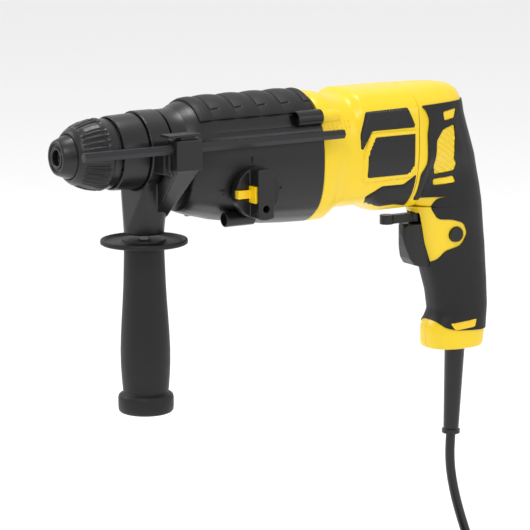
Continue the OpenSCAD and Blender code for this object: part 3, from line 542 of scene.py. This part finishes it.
# ---------------------------------------------------------------- chuck
@dataclass
class Chuck:
    """Dust cap, fluted locking sleeve and nose ring."""

    pockets: int = 6
    ridges: int = 5

    def flutes(self, x: float, a: float) -> float:
        """Radius factor of the sleeve's pockets and their ridges."""
        turn = a / (2 * math.pi) * self.pockets
        across = (turn - math.floor(turn) - 0.5) * 2
        window = ease((0.84 - abs(across)) / 0.16) * ease((x - 12.4) / 2.2) * ease((31.2 - x) / 1.6)
        ridge = 0.5 + 0.5 * math.cos(math.pi * across / 0.84 * self.ridges)
        return 1 - window * (0.075 - 0.062 * ridge ** 1.5)

    def build(self) -> None:
        """Makes the three visible pieces."""
        cap = turned_x("dust_cap_rubber", [(0.5, 5.6), (0, 6.2), (0, 7.6), (0.9, 8), (0.9, 9.4), (0, 9.8),
            (0, 11.2), (0.5, 11.9),
            (1.2, 12.4), (5, 13.9), (8, 15), (9.2, 15.4), (12.4, 15.4), (12.4, 11.1), (4.6, 11.1),
            (4.6, 5.6)])
        dress(cap, BLACK, "spindle", ["dust_cap"])
        front = [(9.1, 15.8), (9.1, 16.9), (9.6, 17.6), (10.6, 18.4)]
        rise = [(11.5 + k * 0.9, between(((11.5, 19.2), (16, 21.9), (22, 24.1), (27, 25.1), (31.6, 25.1)),
            11.5 + k * 0.9)[0])
                for k in range(23)]
        rear = [(32.2, 25.0), (33, 24.4), (33.6, 24.2), (38.6, 24.2), (39.2, 23.8), (39.2, 21.1), (18, 21.1),
            (12, 15.8)]
        sleeve = turned_x("fluted_locking_sleeve", front + rise + rear, steps=384, swell=self.flutes)
        dress(sleeve, BLACK, "locking_sleeve", ["locking_sleeve"], 50)
        ring = turned_x("nose_ring_moulding", [(40, 24.7), (40, 25), (40.6, 25.6), (42, 25.8), (58.9, 26.4),
            (59.6, 25.9), (59.6, 24.1), (47, 24.1), (47, 24.7)])
        dress(ring, BLACK, "tool_body", ["nose_ring"])


# ---------------------------------------------------------------- gear case
@dataclass
class GearCase:
    """Case over the gears, its rubber top and its screw bosses."""

    barrel_r: float = 33.0
    ribs: tuple[float, ...] = (110, 129, 148, 167, 186)
    half_angle: float = 52.0
    lower: list[Point2] = field(default_factory=lambda: [
        (0, 12), (15, 12), (30.5, 12), (33.6, 10.6), (35, 7), (36, 0), (37, -13), (36.3, -25), (34.5, -34.5),
        (31.5, -42),
        (28, -47.5), (23, -52), (17.7, -55.9), (9, -59.8), (0, -61)])

    def lower_ring(self, x: float) -> Ring:
        """Gives the lower case's section at a station."""
        wide, deep = between(((89.5, 0.74, 0.68), (91, 0.81, 0.735), (95, 0.885, 0.762), (100, 0.935, 0.79),
            (107, 0.965, 0.82),
                              (118, 0.985, 0.868), (138, 0.995, 0.925), (158, 1.0, 0.972), (175, 1.0, 0.99),
                              (193, 1.0, 1.0)), x)
        half = [(y * wide, z if z > 0 else z * deep) for y, z in self.lower]
        line = smooth_line([(0, y, z) for y, z in half], 4)
        left = [(x, -p[1], p[2]) for p in line]
        right = [(x, p[1], p[2]) for p in reversed(line[1:-1])]
        return left + right

    def armour(self) -> bpy.types.Object:
        """Makes the humped rubber top with its grooves."""
        def radius(x: float, a: float) -> float:
            """Outer radius at a station and an angle from the top."""
            nearest = min(self.ribs, key=lambda r: abs(x - r - 0.5))
            start = max([r for r in self.ribs if r <= x], default=91)
            t = (x - start) / 19
            r = self.barrel_r + 0.7 + 1.15 * math.sin(math.pi * min(1, max(0, t))) ** 0.8
            if abs(x - nearest) < 0.55 and abs(a) < 36:
                r -= 0.8
            if 0 <= x - nearest <= 6.5 and abs(abs(a) - 36.5) < 1.0:
                r -= 0.8
            edge = min(self.half_angle - abs(a), 1.8) / 1.8
            ends = min(1.0, (x - 99) / 2.0, (191.6 - x) / 1.4)
            front = between(((99, -1.3), (106, -0.2), (112, 0)), x)[0]
            return r + front - 0.55 * (1 - math.sqrt(max(0, 1 - (1 - edge) ** 2))) - 0.5 * (1 - max(0, ends))
        rings = []
        stations = [99 + 0.62 * k for k in range(150)]
        angles = [-self.half_angle + self.half_angle * 2 * k / 104 for k in range(105)]
        for x in stations:
            floor = between(((99, 31.9), (106, 32.7), (112, 33.05), (193, 33.05)), x)[0]
            outer = [(x, radius(x, a) * math.sin(math.radians(a)), radius(x, a) * math.cos(math.radians(a)))
                for a in angles]
            inner = [(x, floor * math.sin(math.radians(a)), floor * math.cos(math.radians(a)))
                for a in reversed(angles)]
            rings.append(outer + inner)
        return loft("ribbed_rubber_top", rings)

    def build(self) -> None:
        """Makes case and top."""
        barrel = [(78.2, 24.2), (78.2, 26.8), (78.8, 27.4), (80, 27.4), (88.6, 27.7), (90, 28.3), (94, 30.4),
            (98, 31.6), (102, 32.1),
                  (106, 32.6), (112, 33), (192.6, 33), (193, 32.6), (193, 5), (78.2, 5)]
        case = turned_x("gear_case", barrel, steps=128)
        stations = [89.5, 90.2, 91, 92.5, 95, 97.5, 100, 103, 107, 112, 118, 126, 134, 142, 150, 158, 166,
            175, 184, 192.6, 193]
        lower = loft("lower_case", [self.lower_ring(x) for x in stations])
        extra = [lower, turned_x("collar", [(47, 5), (47, 23.6), (47.4, 24), (78.6, 24), (78.6, 5)],
            steps=96)]
        for side in (-1, 1):
            extra.append(turned_x("rear_boss", [(173, 0.3), (173, 5), (173.6, 5.6), (193, 5.6), (193, 0.3)],
                (side * 30.5, 17), 40))
            extra.append(turned_x("low_boss", [(116.4, 0.3), (116.4, 4.6), (117, 5.3), (139, 5.3),
                (139, 0.3)], (side * 27, -49.5), 40))
        combine(case, extra, "UNION")
        cuts = [prism("way", circle((0, 0), 15.5, 64), 40, 120, "x"),
            prism("room", circle((0, 0), 30, 96), 100, 200, "x"),
                prism("dial_seat", circle((134.5, -30), 18.7, 64), -60, -36.4)]
        for side in (-1, 1):
            cuts.append(prism("rear_screw_seat", circle((side * 30.5, 17), 4.4, 40), 170, 177, "x"))
            cuts.append(prism("low_screw_seat", circle((side * 27, -49.5), 4.4, 40), 110, 121, "x"))
        combine(case, cuts, "DIFFERENCE")
        dress(case, BLACK, "tool_body", ["gear_housing"], 28)
        dress(self.armour(), RUBBER, "tool_body", ["top_armour"], 50)
        for k, (x, z) in enumerate(((134.5, -7.8), (112.3, -30), (156.7, -30))):
            tick = [(x - 0.5, z - 2), (x + 0.5, z - 2), (x + 0.5, z + 2), (x - 0.5, z + 2)] if k == 0 else \
                   [(x - 2, z - 0.5), (x + 2, z - 0.5), (x + 2, z + 0.5), (x - 2, z + 0.5)]
            dress(prism(f"mode_tick_{k}", tick, -37.3, -36.2), BLACK, "tool_body")


# ---------------------------------------------------------------- motor housing
@dataclass
class MotorHousing:
    """Yellow housing round the motor, with its pads, plate and vents."""

    ring: list[Point2] = field(default_factory=lambda: [
        (0, 31.5), (12, 30.6), (21, 27), (28, 20.5), (33, 12), (36.3, 2), (37.4, -10), (36.6, -24),
        (32.5, -38.5), (25, -50), (14, -58.3), (0, -61)])
    neck: list[Point2] = field(default_factory=lambda: [
        (0, 28), (11, 27.4), (20, 24.8), (27.5, 18.5), (32, 10.5), (34.5, 1), (35, -10), (34, -23), (31, -35),
        (25.5, -45), (15, -51), (0, -53)])
    hump: list[Point2] = field(default_factory=lambda: [
        (0, 32), (12, 31.5), (21.5, 29.2), (27.2, 25.6), (33.2, 18.6), (35, 8), (35.2, -8), (34.5, -22),
        (31.5, -35), (25.5, -45), (15, -51), (0, -53)])
    lip: list[Point2] = field(default_factory=lambda: [
        (0, 32), (12, 31.5), (21.5, 29.2), (27.2, 25.6), (33.2, 18.6), (35, 8), (35.2, -8), (34.5, -22),
        (31.5, -36), (25, -48), (14, -56.6), (0, -58.6)])

    def half(self, x: float) -> list[Point2]:
        """Gives the section's half outline at a station, from top to bottom."""
        rows = [(193.3, self.ring, 0.985), (194.3, self.ring, 1), (204.6, self.ring, 1),
            (206, self.ring, 0.985), (210.5, self.neck, 1.025),
                (215.5, self.neck, 1), (221, self.neck, 1), (229, self.hump, 1), (238, self.hump, 1),
                (252, self.lip, 1), (274, self.lip, 1)]
        for (x0, a, ka), (x1, b, kb) in zip(rows, rows[1:]):
            if x <= x1:
                t = ease((x - x0) / (x1 - x0))
                return [((1 - t) * p[0] * ka + t * q[0] * kb, (1 - t) * p[1] * ka + t * q[1] * kb)
                    for p, q in zip(a, b)]
        return list(self.lip)

    def section(self, x: float, shrink: float = 0.0) -> Ring:
        """Gives the whole section as a ring."""
        line = [(p[1], p[2]) for p in smooth_line([(0, y, z) for y, z in self.half(x)], 5)]
        if shrink:
            line = [(y * (1 - shrink / 36), -10 + (z + 10) * (1 - shrink / 42)) for y, z in line]
        return [(x, -y, z) for y, z in line] + [(x, y, z) for y, z in reversed(line[1:-1])]

    def side(self, x: float, z: float) -> float:
        """Half width at a station and a height."""
        line = [(p[1], p[2]) for p in smooth_line([(0, y, zz) for y, zz in self.half(x)], 3)]
        for a, b in zip(line, line[1:]):
            if b[1] <= z <= a[1]:
                return a[0] + (b[0] - a[0]) * (a[1] - z) / max(1e-6, a[1] - b[1])
        return 0.0

    def shell(self) -> bpy.types.Object:
        """Makes the housing as a wall of even thickness, open at both ends."""
        stations = [193.3, 193.8, 194.3, 199, 204.6, 205.3, 206, 207.5, 209, 210.5, 212, 213.5, 215.5, 218,
            221, 223, 225, 227, 229,
                    233, 238, 242, 247, 252, 258, 264, 269, 272.6, 273.7, 274]
        outer = [self.section(x, 0.5 if x > 273.9 else 0.0) for x in stations]
        inner = [self.section(x, 3.4) for x in reversed(stations)]
        return loft("motor_housing_shell", outer + inner, loop=True)

    def build(self) -> None:
        """Makes shell, pads, frame, plate and vents."""
        shell = self.shell()
        bosses = [turned_x("screw_boss", [(193.4, 0.3), (193.4, 4.9), (205, 4.9), (209, 3.6), (210.4, 0.3)],
            (side * 29.2, 16.6), 36)
                  for side in (-1, 1)]
        combine(shell, bosses, "UNION")
        dress(shell, YELLOW, "tool_body", ["motor_housing"], 30)
        upper = [(229, 18), (265, 18.6), (271, 4.4), (271, 4), (234, 4), (226.5, -8.5), (224.5, -8.5),
            (224, 2)]
        lower = [(237, -50), (233, -44), (245, -36.6), (263, -36.8), (272.8, -30), (272.8, -55), (262, -53),
            (250, -53.5)]
        frame = [(232.5, 3), (273.4, 3), (273.4, -24), (268, -32.5), (244, -33), (227, -33), (226.5, -11)]
        plate = [(235.5, 0.4), (271, 0.4), (271, -22.5), (266, -29.8), (229.5, -29.8), (229.5, -12)]
        for side, mark in ((-1, "left"), (1, "right")):
            pads = [panel(f"hatched_pad_{mark}", rounded(upper, 1.6), self.side, side, domed(1.15, 1.6), 0.8),
                    panel(f"lower_pad_{mark}", rounded(lower, 1.6), self.side, side, domed(1.15, 1.6), 0.8)]
            dress(pads[0], HATCHED, "tool_body", ["side_pads"], 45)
            dress(pads[1], RUBBER, "tool_body", [], 45)
            dress(panel(f"plate_frame_{mark}", rounded(frame, 2.4), self.side, side, domed(1.5, 1.8), 0.8),
                YELLOW, "tool_body", [], 45)
            dress(panel(f"plate_{mark}", rounded(plate, 1.6), self.side, side, domed(1.95, 0.7), 0.3), LABEL,
                "tool_body", ["label_plates"], 45)
            for row in range(2):
                for k in range(6):
                    x, z = 198.5 + 3.6 * k, 12.2 - 4.2 * row
                    arrow = [(x - 1.3, z + 1.6), (x - 0.2, z + 1.6), (x + 1.2, z), (x - 0.2, z - 1.6),
                        (x - 1.3, z - 1.6), (x + 0.1, z)]
                    dress(panel(f"chevron_{mark}_{row}_{k}", arrow, self.side, side, domed(0.55, 0.5), 0.6,
                        0.6), YELLOW, "tool_body", [], 40)


# ---------------------------------------------------------------- handle
@dataclass
class Handle:
    """Two yellow half shells with dark overmoulding."""

    housing: MotorHousing
    seam_x: float = 274.3
    lip_z: float = -58.6
    screws: tuple[Point2, ...] = ((318, 13), (300, -47), (336, -46), (342, -112), (315, -128))
    rear: tuple[tuple[float, float], ...] = (
        (-166, 349), (-150, 351), (-136, 352.5), (-118, 352), (-90, 350), (-58, 346), (-22.5, 339), (0, 332),
        (9, 329.4), (19, 328),
        (24, 326.6), (27, 323.6), (29.2, 319.5), (30.6, 313), (31.4, 306), (32, 296))
    front: tuple[tuple[float, float], ...] = (
        (-166, 303.4), (-151, 303), (-147.5, 304.2), (-143, 307.6), (-138, 309.2), (-124, 307), (-104, 301),
        (-86, 295), (-66, 291.5), (-58, 289))
    grip_w: tuple[tuple[float, float], ...] = (
        (-166, 19.3), (-153, 19.2), (-148, 18.4), (-138, 17), (-124, 16.6), (-104, 17), (-80, 18.5),
        (-60, 21), (-44, 22), (0, 22))
    taper: tuple[tuple[float, float], ...] = (
        (0, 0), (0.5, 5.5), (1.5, 9.2), (4, 14.2), (8, 19), (12, 22), (22, 26.6), (42, 32.2), (55, 35.2))

    def width(self, x: float, z: float, grow: float = 0.0) -> float:
        """Half width of the handle at a station and a height."""
        rear = between(self.rear, z)[0] + grow
        grip_front = between(self.front, z)[0] - grow
        u = (x - grip_front) / (rear - grip_front)
        grip = 0.0
        if 0 < u < 1:
            grip = (between(self.grip_w, z)[0] + grow) * (1 - abs(2 * u - 1) ** 2.5) ** 0.4
        if z <= self.lip_z:
            return grip
        top = self.housing.side(self.seam_x, z)
        top = max(0.0, top + grow) * min(1.0, between(self.taper, rear - x)[0] / 35.2) if top > 0 else 0.0
        mix = ease((x - 279) / 22) * ease((-14 - z) / 34)
        return top * (1 - mix) + grip * mix

    def body(self, grow: float, open_front: bool = False) -> bpy.types.Object:
        """Makes the whole handle as one closed mesh.

        Args:
            grow: how far its walls move outwards.
            open_front: starts ahead of the seam.

        Returns:
            The mesh.
        """
        levels = [-166 - grow, -165.4 - grow, -164 - grow] + [-162 + 3.0 * k
            for k in range(34)] + [-59.6, self.lip_z - 0.15, self.lip_z + 0.05, -58.2,
            -57.6, -56.6, -55, -52.5, -50, -47, -44] + [-41 + 3 * k
            for k in range(22)] + [25, 26.5, 28, 29.2, 30.2, 30.9, 31.4, 31.75, 31.92]
        if grow < 0:
            levels = [z for z in levels if -166 - grow <= z <= 31.9 + grow]
        rings = []
        for z in levels:
            squeeze = {levels[0]: -1.6, levels[1]: -0.7, levels[2]: -0.15}.get(z, 0.0)
            rear = between(self.rear, z)[0] + grow + squeeze
            start = (self.seam_x - (6 if open_front else 0)) if z > self.lip_z else between(self.front,
                z)[0] - grow - squeeze
            line = []
            for k in range(45):
                x = start + (rear - start) * (1 - math.cos(math.pi * k / 44)) / 2
                line.append((x, max(0.0, self.width(x, z, grow + squeeze) if 0 < k < 44 or z > self.lip_z
                    else 0.0) if k < 44 else 0.0, z))
            rings.append([(x, -w - 1e-4, zz) for x, w, zz in line] + [(x, w + 1e-4, zz)
                for x, w, zz in reversed(line)])
        return loft("handle_body", rings)

    def half(self, side: int) -> bpy.types.Object:
        """Makes one half shell with its openings."""
        shell = combine(self.body(0), [self.body(-3, True)], "DIFFERENCE")
        keep = prism("keep", [(200, -300), (420, -300), (420, 100), (200, 100)], min(side * 0.12, side * 80),
            max(side * 0.12, side * 80))
        combine(shell, [keep], "INTERSECT")
        trigger = [(270, -103.8), (308, -103.8), (308, -63.6), (270, -63.6)]
        cuts = [prism("trigger_way", trigger, -8.3, 8.3),
                prism("lock_way", circle((317, -80), 5.8, 48), -40, -8)]
        guard = circle((329.2, 0), 8.2, 48)
        cuts.append(prism("guard_way", guard, -180, -150, "z"))
        if side > 0:
            for x, z in self.screws:
                cuts.append(prism("screw_way", circle((x, z), 4.2, 32), 8, 60))
        combine(shell, cuts, "DIFFERENCE")
        return shell

    def build(self) -> None:
        """Makes shells, overmould, vents and badges."""
        rear_zone = [(277, 18.6), (330.5, 18.6), (345, -50), (330, -51), (276.5, -51), (276.5, -31),
            (281.5, -23.5), (281.5, -2), (284, 8), (281, 15)]
        vent_big = [(297, 0), (309, 2.5), (310, -7.5), (309, -12), (309, -23), (312, -26), (311, -31.7),
            (294, -33.5), (289, -26), (290, -7.5)]
        vent_top = [(298, 12.5), (313, 14), (310, 6.8), (299, 5.6)]
        vent_low = [(294, -37), (311, -35.4), (314, -41), (296, -42.4)]
        grip_zone = [(296, -58.5), (302, -68), (312, -68.5), (323, -72), (327, -80), (322, -88.5), (309, -92),
            (305, -98), (296, -104),
                     (300, -138), (310, -149.5), (318, -151.5), (340, -153), (400, -154), (400, -50),
                     (330, -49), (300, -52)]
        for side, mark in ((-1, "left"), (1, "right")):
            dress(self.half(side), YELLOW, "tool_body", [f"handle_{mark}"], 30)
            near, far = min(side * 0.12, side * 80), max(side * 0.12, side * 80)
            skin = combine(self.body(0.9), [self.body(-0.4)], "DIFFERENCE")
            zone = combine(prism("zone", rounded(rear_zone, 2.5), near, far),
                [prism("hole", rounded(v, 1.8), -90, 90) for v in (vent_big, vent_top, vent_low)],
                "DIFFERENCE")
            lower = prism("zone_grip", rounded(grip_zone, 3), near, far)
            combine(zone, [lower], "UNION")
            combine(skin, [zone], "INTERSECT")
            skin.name = f"overmould_{mark}"
            ways = [prism("front_way", [(270, -103.9), (309, -103.9), (309, -57), (270, -57)], -8.4, 8.4)]
            if side > 0:
                ways += [prism("screw_way", circle((x, z), 4.3, 32), 8, 60)
                         for x, z in self.screws]
            combine(skin, ways, "DIFFERENCE")
            dress(skin, RUBBER, "tool_body", [f"grip_cover_{mark}"], 30)
            for k, vent in enumerate((vent_big, vent_top, vent_low)):
                dress(panel(f"vent_{mark}_{k}", rounded(vent, 1.8), self.width, side, vent_ribs if k == 0
                    else domed(0.8, 1.0), 0.6, 0.7 if k == 0 else 1.0), YELLOW, "tool_body", [], 40)
            badge = [(314, -146.5), (336, -144.6), (334, -150.2), (317, -151.4)]
            dress(panel(f"foot_badge_{mark}", rounded(badge, 1.4), lambda x, z: self.width(x, z, 0.9), side,
                domed(0.7, 0.9), 0.8, 1.0), BUTTON, "tool_body", [], 40)


# ---------------------------------------------------------------- moulded controls
@dataclass
class MouldedParts:
    """Small mouldings whose edges are rounded, and the side grip."""

    rounded_nodes: tuple[tuple[str, str, float, int, Finish], ...] = (
        ("selector_knob", "selector", 0.4, 4, BLACK), ("selector_button", "selector_button", 0.25, 2, BUTTON),
        ("trigger", "trigger", 0.45, 12, BLACK), ("direction_lever", "direction_lever", 0.3, 5, BLACK),
        ("lock_on_button", "lock_button", 0.25, 5, BLACK),
        ("side_handle_clamp", "side_handle", 0.55, 5, BLACK),
        ("depth_stop_button", "depth_stop_button", 0.25, 3, BLACK))

    def button_ways(self) -> list[bpy.types.Object]:
        """Makes the room that the release button sweeps in the dial."""
        ways = []
        for travel in (0.0, 0.7, 1.4, 2.1):
            way = bpy.data.objects.new("button_way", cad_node("selector_button").data.copy())
            bpy.context.scene.collection.objects.link(way)
            outwards(way)
            corners = [v.co.copy() for v in way.data.vertices]
            middle = sum(corners, Vector()) / len(corners)
            for vertex in way.data.vertices:
                vertex.co = middle + (vertex.co - middle) * 1.05 + Vector((travel * MM, 0, 0))
            ways.append(way)
        return ways

    def build(self) -> None:
        """Makes each rounded moulding and the side grip."""
        for node, body, voxel, passes, finish in self.rounded_nodes:
            moulding = soften(node, voxel, passes, f"{node}_moulding")
            if node == "selector_knob":
                combine(moulding, self.button_ways(), "DIFFERENCE")
            dress(moulding, finish, body, [node], 38)
        grip = turned_z("side_grip_rubber", [(-65.6, 4.3), (-65.6, 29.4), (-65, 30.4), (-64.2, 30.5),
            (-62.8, 30.4), (-62.2, 30), (-62, 29.4),
            (-62.1, 28.8), (-63, 28), (-63.8, 27), (-64, 18), (-63.2, 15.4), (-62, 15), (-62, 4.3)], (68, 0),
            128)
        tube = [(-65.6, 14.0), (-66.5, 14.2), (-72, 14.1), (-84, 14.5), (-95, 14.9), (-106, 15.5),
            (-118, 16.3), (-130, 17), (-140, 17.4), (-150, 17.3),
                (-158, 16.9), (-165, 16.4), (-168, 16.1), (-169.5, 15.9), (-170, 15.9), (-170.6, 16.4),
                (-171.2, 17.8), (-172.2, 18.9), (-174, 19.5),
                (-180, 19.5), (-183, 19.2), (-184.4, 18), (-185, 16.5), (-185, 0.4), (-65.6, 0.4)]
        body = turned_z("grip_tube", tube, (68, 0), 128)
        combine(grip, [body], "UNION")
        combine(grip, [prism("bolt_way", circle((68, 0), 4.1, 40), -106, -50, "z")], "DIFFERENCE")
        dress(grip, RUBBER, "side_grip", ["side_grip"], 35)


# ---------------------------------------------------------------- studio
@dataclass
class Studio:
    """Camera, floor and soft lights."""

    camera_at: Point3 = (-1.39546, -2.02999, 0.34508)
    right: Point3 = (0.85477706, -0.51896057, -0.00600826)
    up: Point3 = (0.09873714, 0.15124232, 0.98355312)
    back: Point3 = (-0.50951659, -0.84131188, 0.18051915)
    lens: float = 230.94

    def camera(self) -> None:
        """Makes the camera."""
        data = bpy.data.cameras.new("camera")
        data.lens, data.sensor_width = self.lens, 36.0
        data.clip_start, data.clip_end = 0.05, 60
        camera = bpy.data.objects.new("camera", data)
        turn = Matrix((self.right, self.up, self.back)).transposed().to_4x4()
        camera.matrix_world = Matrix.Translation(self.camera_at) @ turn
        bpy.context.scene.collection.objects.link(camera)
        bpy.context.scene.camera = camera

    def lamp(self, name: str, at: Point3, size: float, power: float,
        towards: Point3 = (-0.15, 0, -0.05)) -> None:
        """Adds one soft square light."""
        data = bpy.data.lights.new(name, "AREA")
        data.size, data.energy = size, power
        lamp = bpy.data.objects.new(name, data)
        lamp.location = at
        lamp.rotation_mode = "QUATERNION"
        lamp.rotation_quaternion = (Vector(at) - Vector(towards)).to_track_quat("Z", "Y")
        bpy.context.scene.collection.objects.link(lamp)

    def build(self, floor_z: float) -> None:
        """Makes floor, lights and world."""
        bpy.ops.mesh.primitive_plane_add(size=60, location=(0, 0, floor_z - 0.0005))
        floor = bpy.context.object
        floor.name = "studio_floor"
        paint = bpy.data.materials.new("studio_paper")
        paint.use_nodes = True
        shader = paint.node_tree.nodes["Principled BSDF"]
        shader.inputs["Base Color"].default_value = (0.97, 0.97, 0.97, 1)
        shader.inputs["Roughness"].default_value = 0.9
        floor.data.materials.append(paint)
        floor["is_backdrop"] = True
        world = bpy.data.worlds.new("studio_air")
        world.use_nodes = True
        world.node_tree.nodes["Background"].inputs[0].default_value = (1, 1, 1, 1)
        world.node_tree.nodes["Background"].inputs[1].default_value = 0.86
        bpy.context.scene.world = world
        self.lamp("key_light", (-1.5, -1.5, 1.8), 0.7, 15)
        self.lamp("fill_light", (0.9, -1.8, 0.7), 0.6, 4)
        self.lamp("top_light", (-0.1, 0.3, 1.9), 0.6, 17)
        self.lamp("rim_light", (-1.2, 1.2, 0.9), 0.7, 7)
        bpy.context.scene.view_settings.view_transform = "Standard"


# ---------------------------------------------------------------- mains lead
@dataclass
class MainsLead:
    """The lead from its guard to the coil and the plug."""

    diameter: float = 7.2
    route: list[Point3] = field(default_factory=lambda: [
        (326, 0, -233), (325.3, 0, -246), (326, 0, -260), (329, 0, -276), (333.5, 0, -292),
        (339, 0, -308), (344, -1, -322), (348, -5, -336), (350, -13, -347), (350, -24, -354),
        (348.5, -34, -357.5), (346, -44, -358)])
    tail: list[Point3] = field(default_factory=lambda: [
        (300, -88, -380.4), (286, -88, -380.2), (272, -88, -379), (258, -88, -375.5),
        (246, -88, -371), (234, -88, -367)])
    coil_centre: Point2 = (300, -42)
    radii: Point2 = (38.5, 46)
    floor: float = -384
    pitch: float = 7.5
    turns: float = 7.25

    def coil(self) -> list[Point3]:
        """Winds the coil: each turn moves in, down or out by one diameter."""
        order = [(46, 3), (38.5, 3), (38.5, 2), (46, 2), (46, 1), (38.5, 1), (38.5, 0), (46, 0)]
        hold = self.turns * 360 / len(order)
        width = 80.0
        points = []
        count = int(self.turns * 28)
        for i in range(1, count):
            angle = self.turns * 360 * i / count
            r, layer = order[0]
            for k in range(1, len(order)):
                t = min(1, max(0, (angle - hold * k) / width + 0.5))
                t = t * t * (3 - 2 * t)
                r += (order[k][0] - order[k - 1][0]) * t
                layer += (order[k][1] - order[k - 1][1]) * t
            a = math.radians(angle)
            points.append((self.coil_centre[0] + r * math.cos(a), self.coil_centre[1] - r * math.sin(a),
                           self.floor + self.diameter / 2 + self.pitch * layer))
        return points

    def build(self) -> None:
        line = smooth_line(self.route, 2)[:-1] + self.coil() + smooth_line(self.tail, 2)
        metres = [from_nose(*p) for p in line]
        curve = bpy.data.curves.new("mains_lead", "CURVE")
        curve.dimensions, curve.bevel_depth, curve.bevel_resolution = "3D", self.diameter * MM / 2, 5
        curve.use_fill_caps = True
        spline = curve.splines.new("POLY")
        spline.points.add(len(metres) - 1)
        for point, at in zip(spline.points, metres):
            point.co = (*at, 1)
        lead = bpy.data.objects.new("mains_lead", curve)
        bpy.context.scene.collection.objects.link(lead)
        dress(lead, LEAD, "tool_body", ["power_cord", "cord_coil"])


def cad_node(name: str) -> bpy.types.Object:
    """Gives the object of a CAD node."""
    return FRAME["nodes"][name]


# ---------------------------------------------------------------- whole object
def dress_nodes() -> None:
    """Gives every CAD node the finish of its slot."""
    special = {"depth_rod": ROD, "side_pads": HATCHED}
    for part in FRAME["record"]["subparts"]:
        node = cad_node(part["node"])
        finish = special.get(part["node"], SLOT_FINISH[part["material_slot"]])
        if not node.material_slots:
            node.data.materials.append(finish.material())
        for place in node.material_slots:
            place.material = finish.material()
        log.info("%s is %s", node.name, finish.name)


def main() -> None:
    """Builds the pieces in order."""
    logging.basicConfig(level=logging.INFO, format="%(message)s")
    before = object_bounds()
    Studio().camera()
    dress_nodes()
    MainsLead().build()
    Chuck().build()
    GearCase().build()
    housing = MotorHousing()
    housing.build()
    Handle(housing).build()
    MouldedParts().build()
    Studio().build(before[0][2])


with open("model.json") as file:
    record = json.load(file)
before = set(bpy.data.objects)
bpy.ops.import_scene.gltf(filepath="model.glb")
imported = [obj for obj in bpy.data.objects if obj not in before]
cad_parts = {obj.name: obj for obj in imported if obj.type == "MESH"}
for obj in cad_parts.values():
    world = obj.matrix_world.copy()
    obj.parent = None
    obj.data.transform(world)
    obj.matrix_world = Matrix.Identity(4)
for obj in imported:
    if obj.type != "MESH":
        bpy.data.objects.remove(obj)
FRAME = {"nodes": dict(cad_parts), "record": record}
if __name__ == "__main__":
    main()
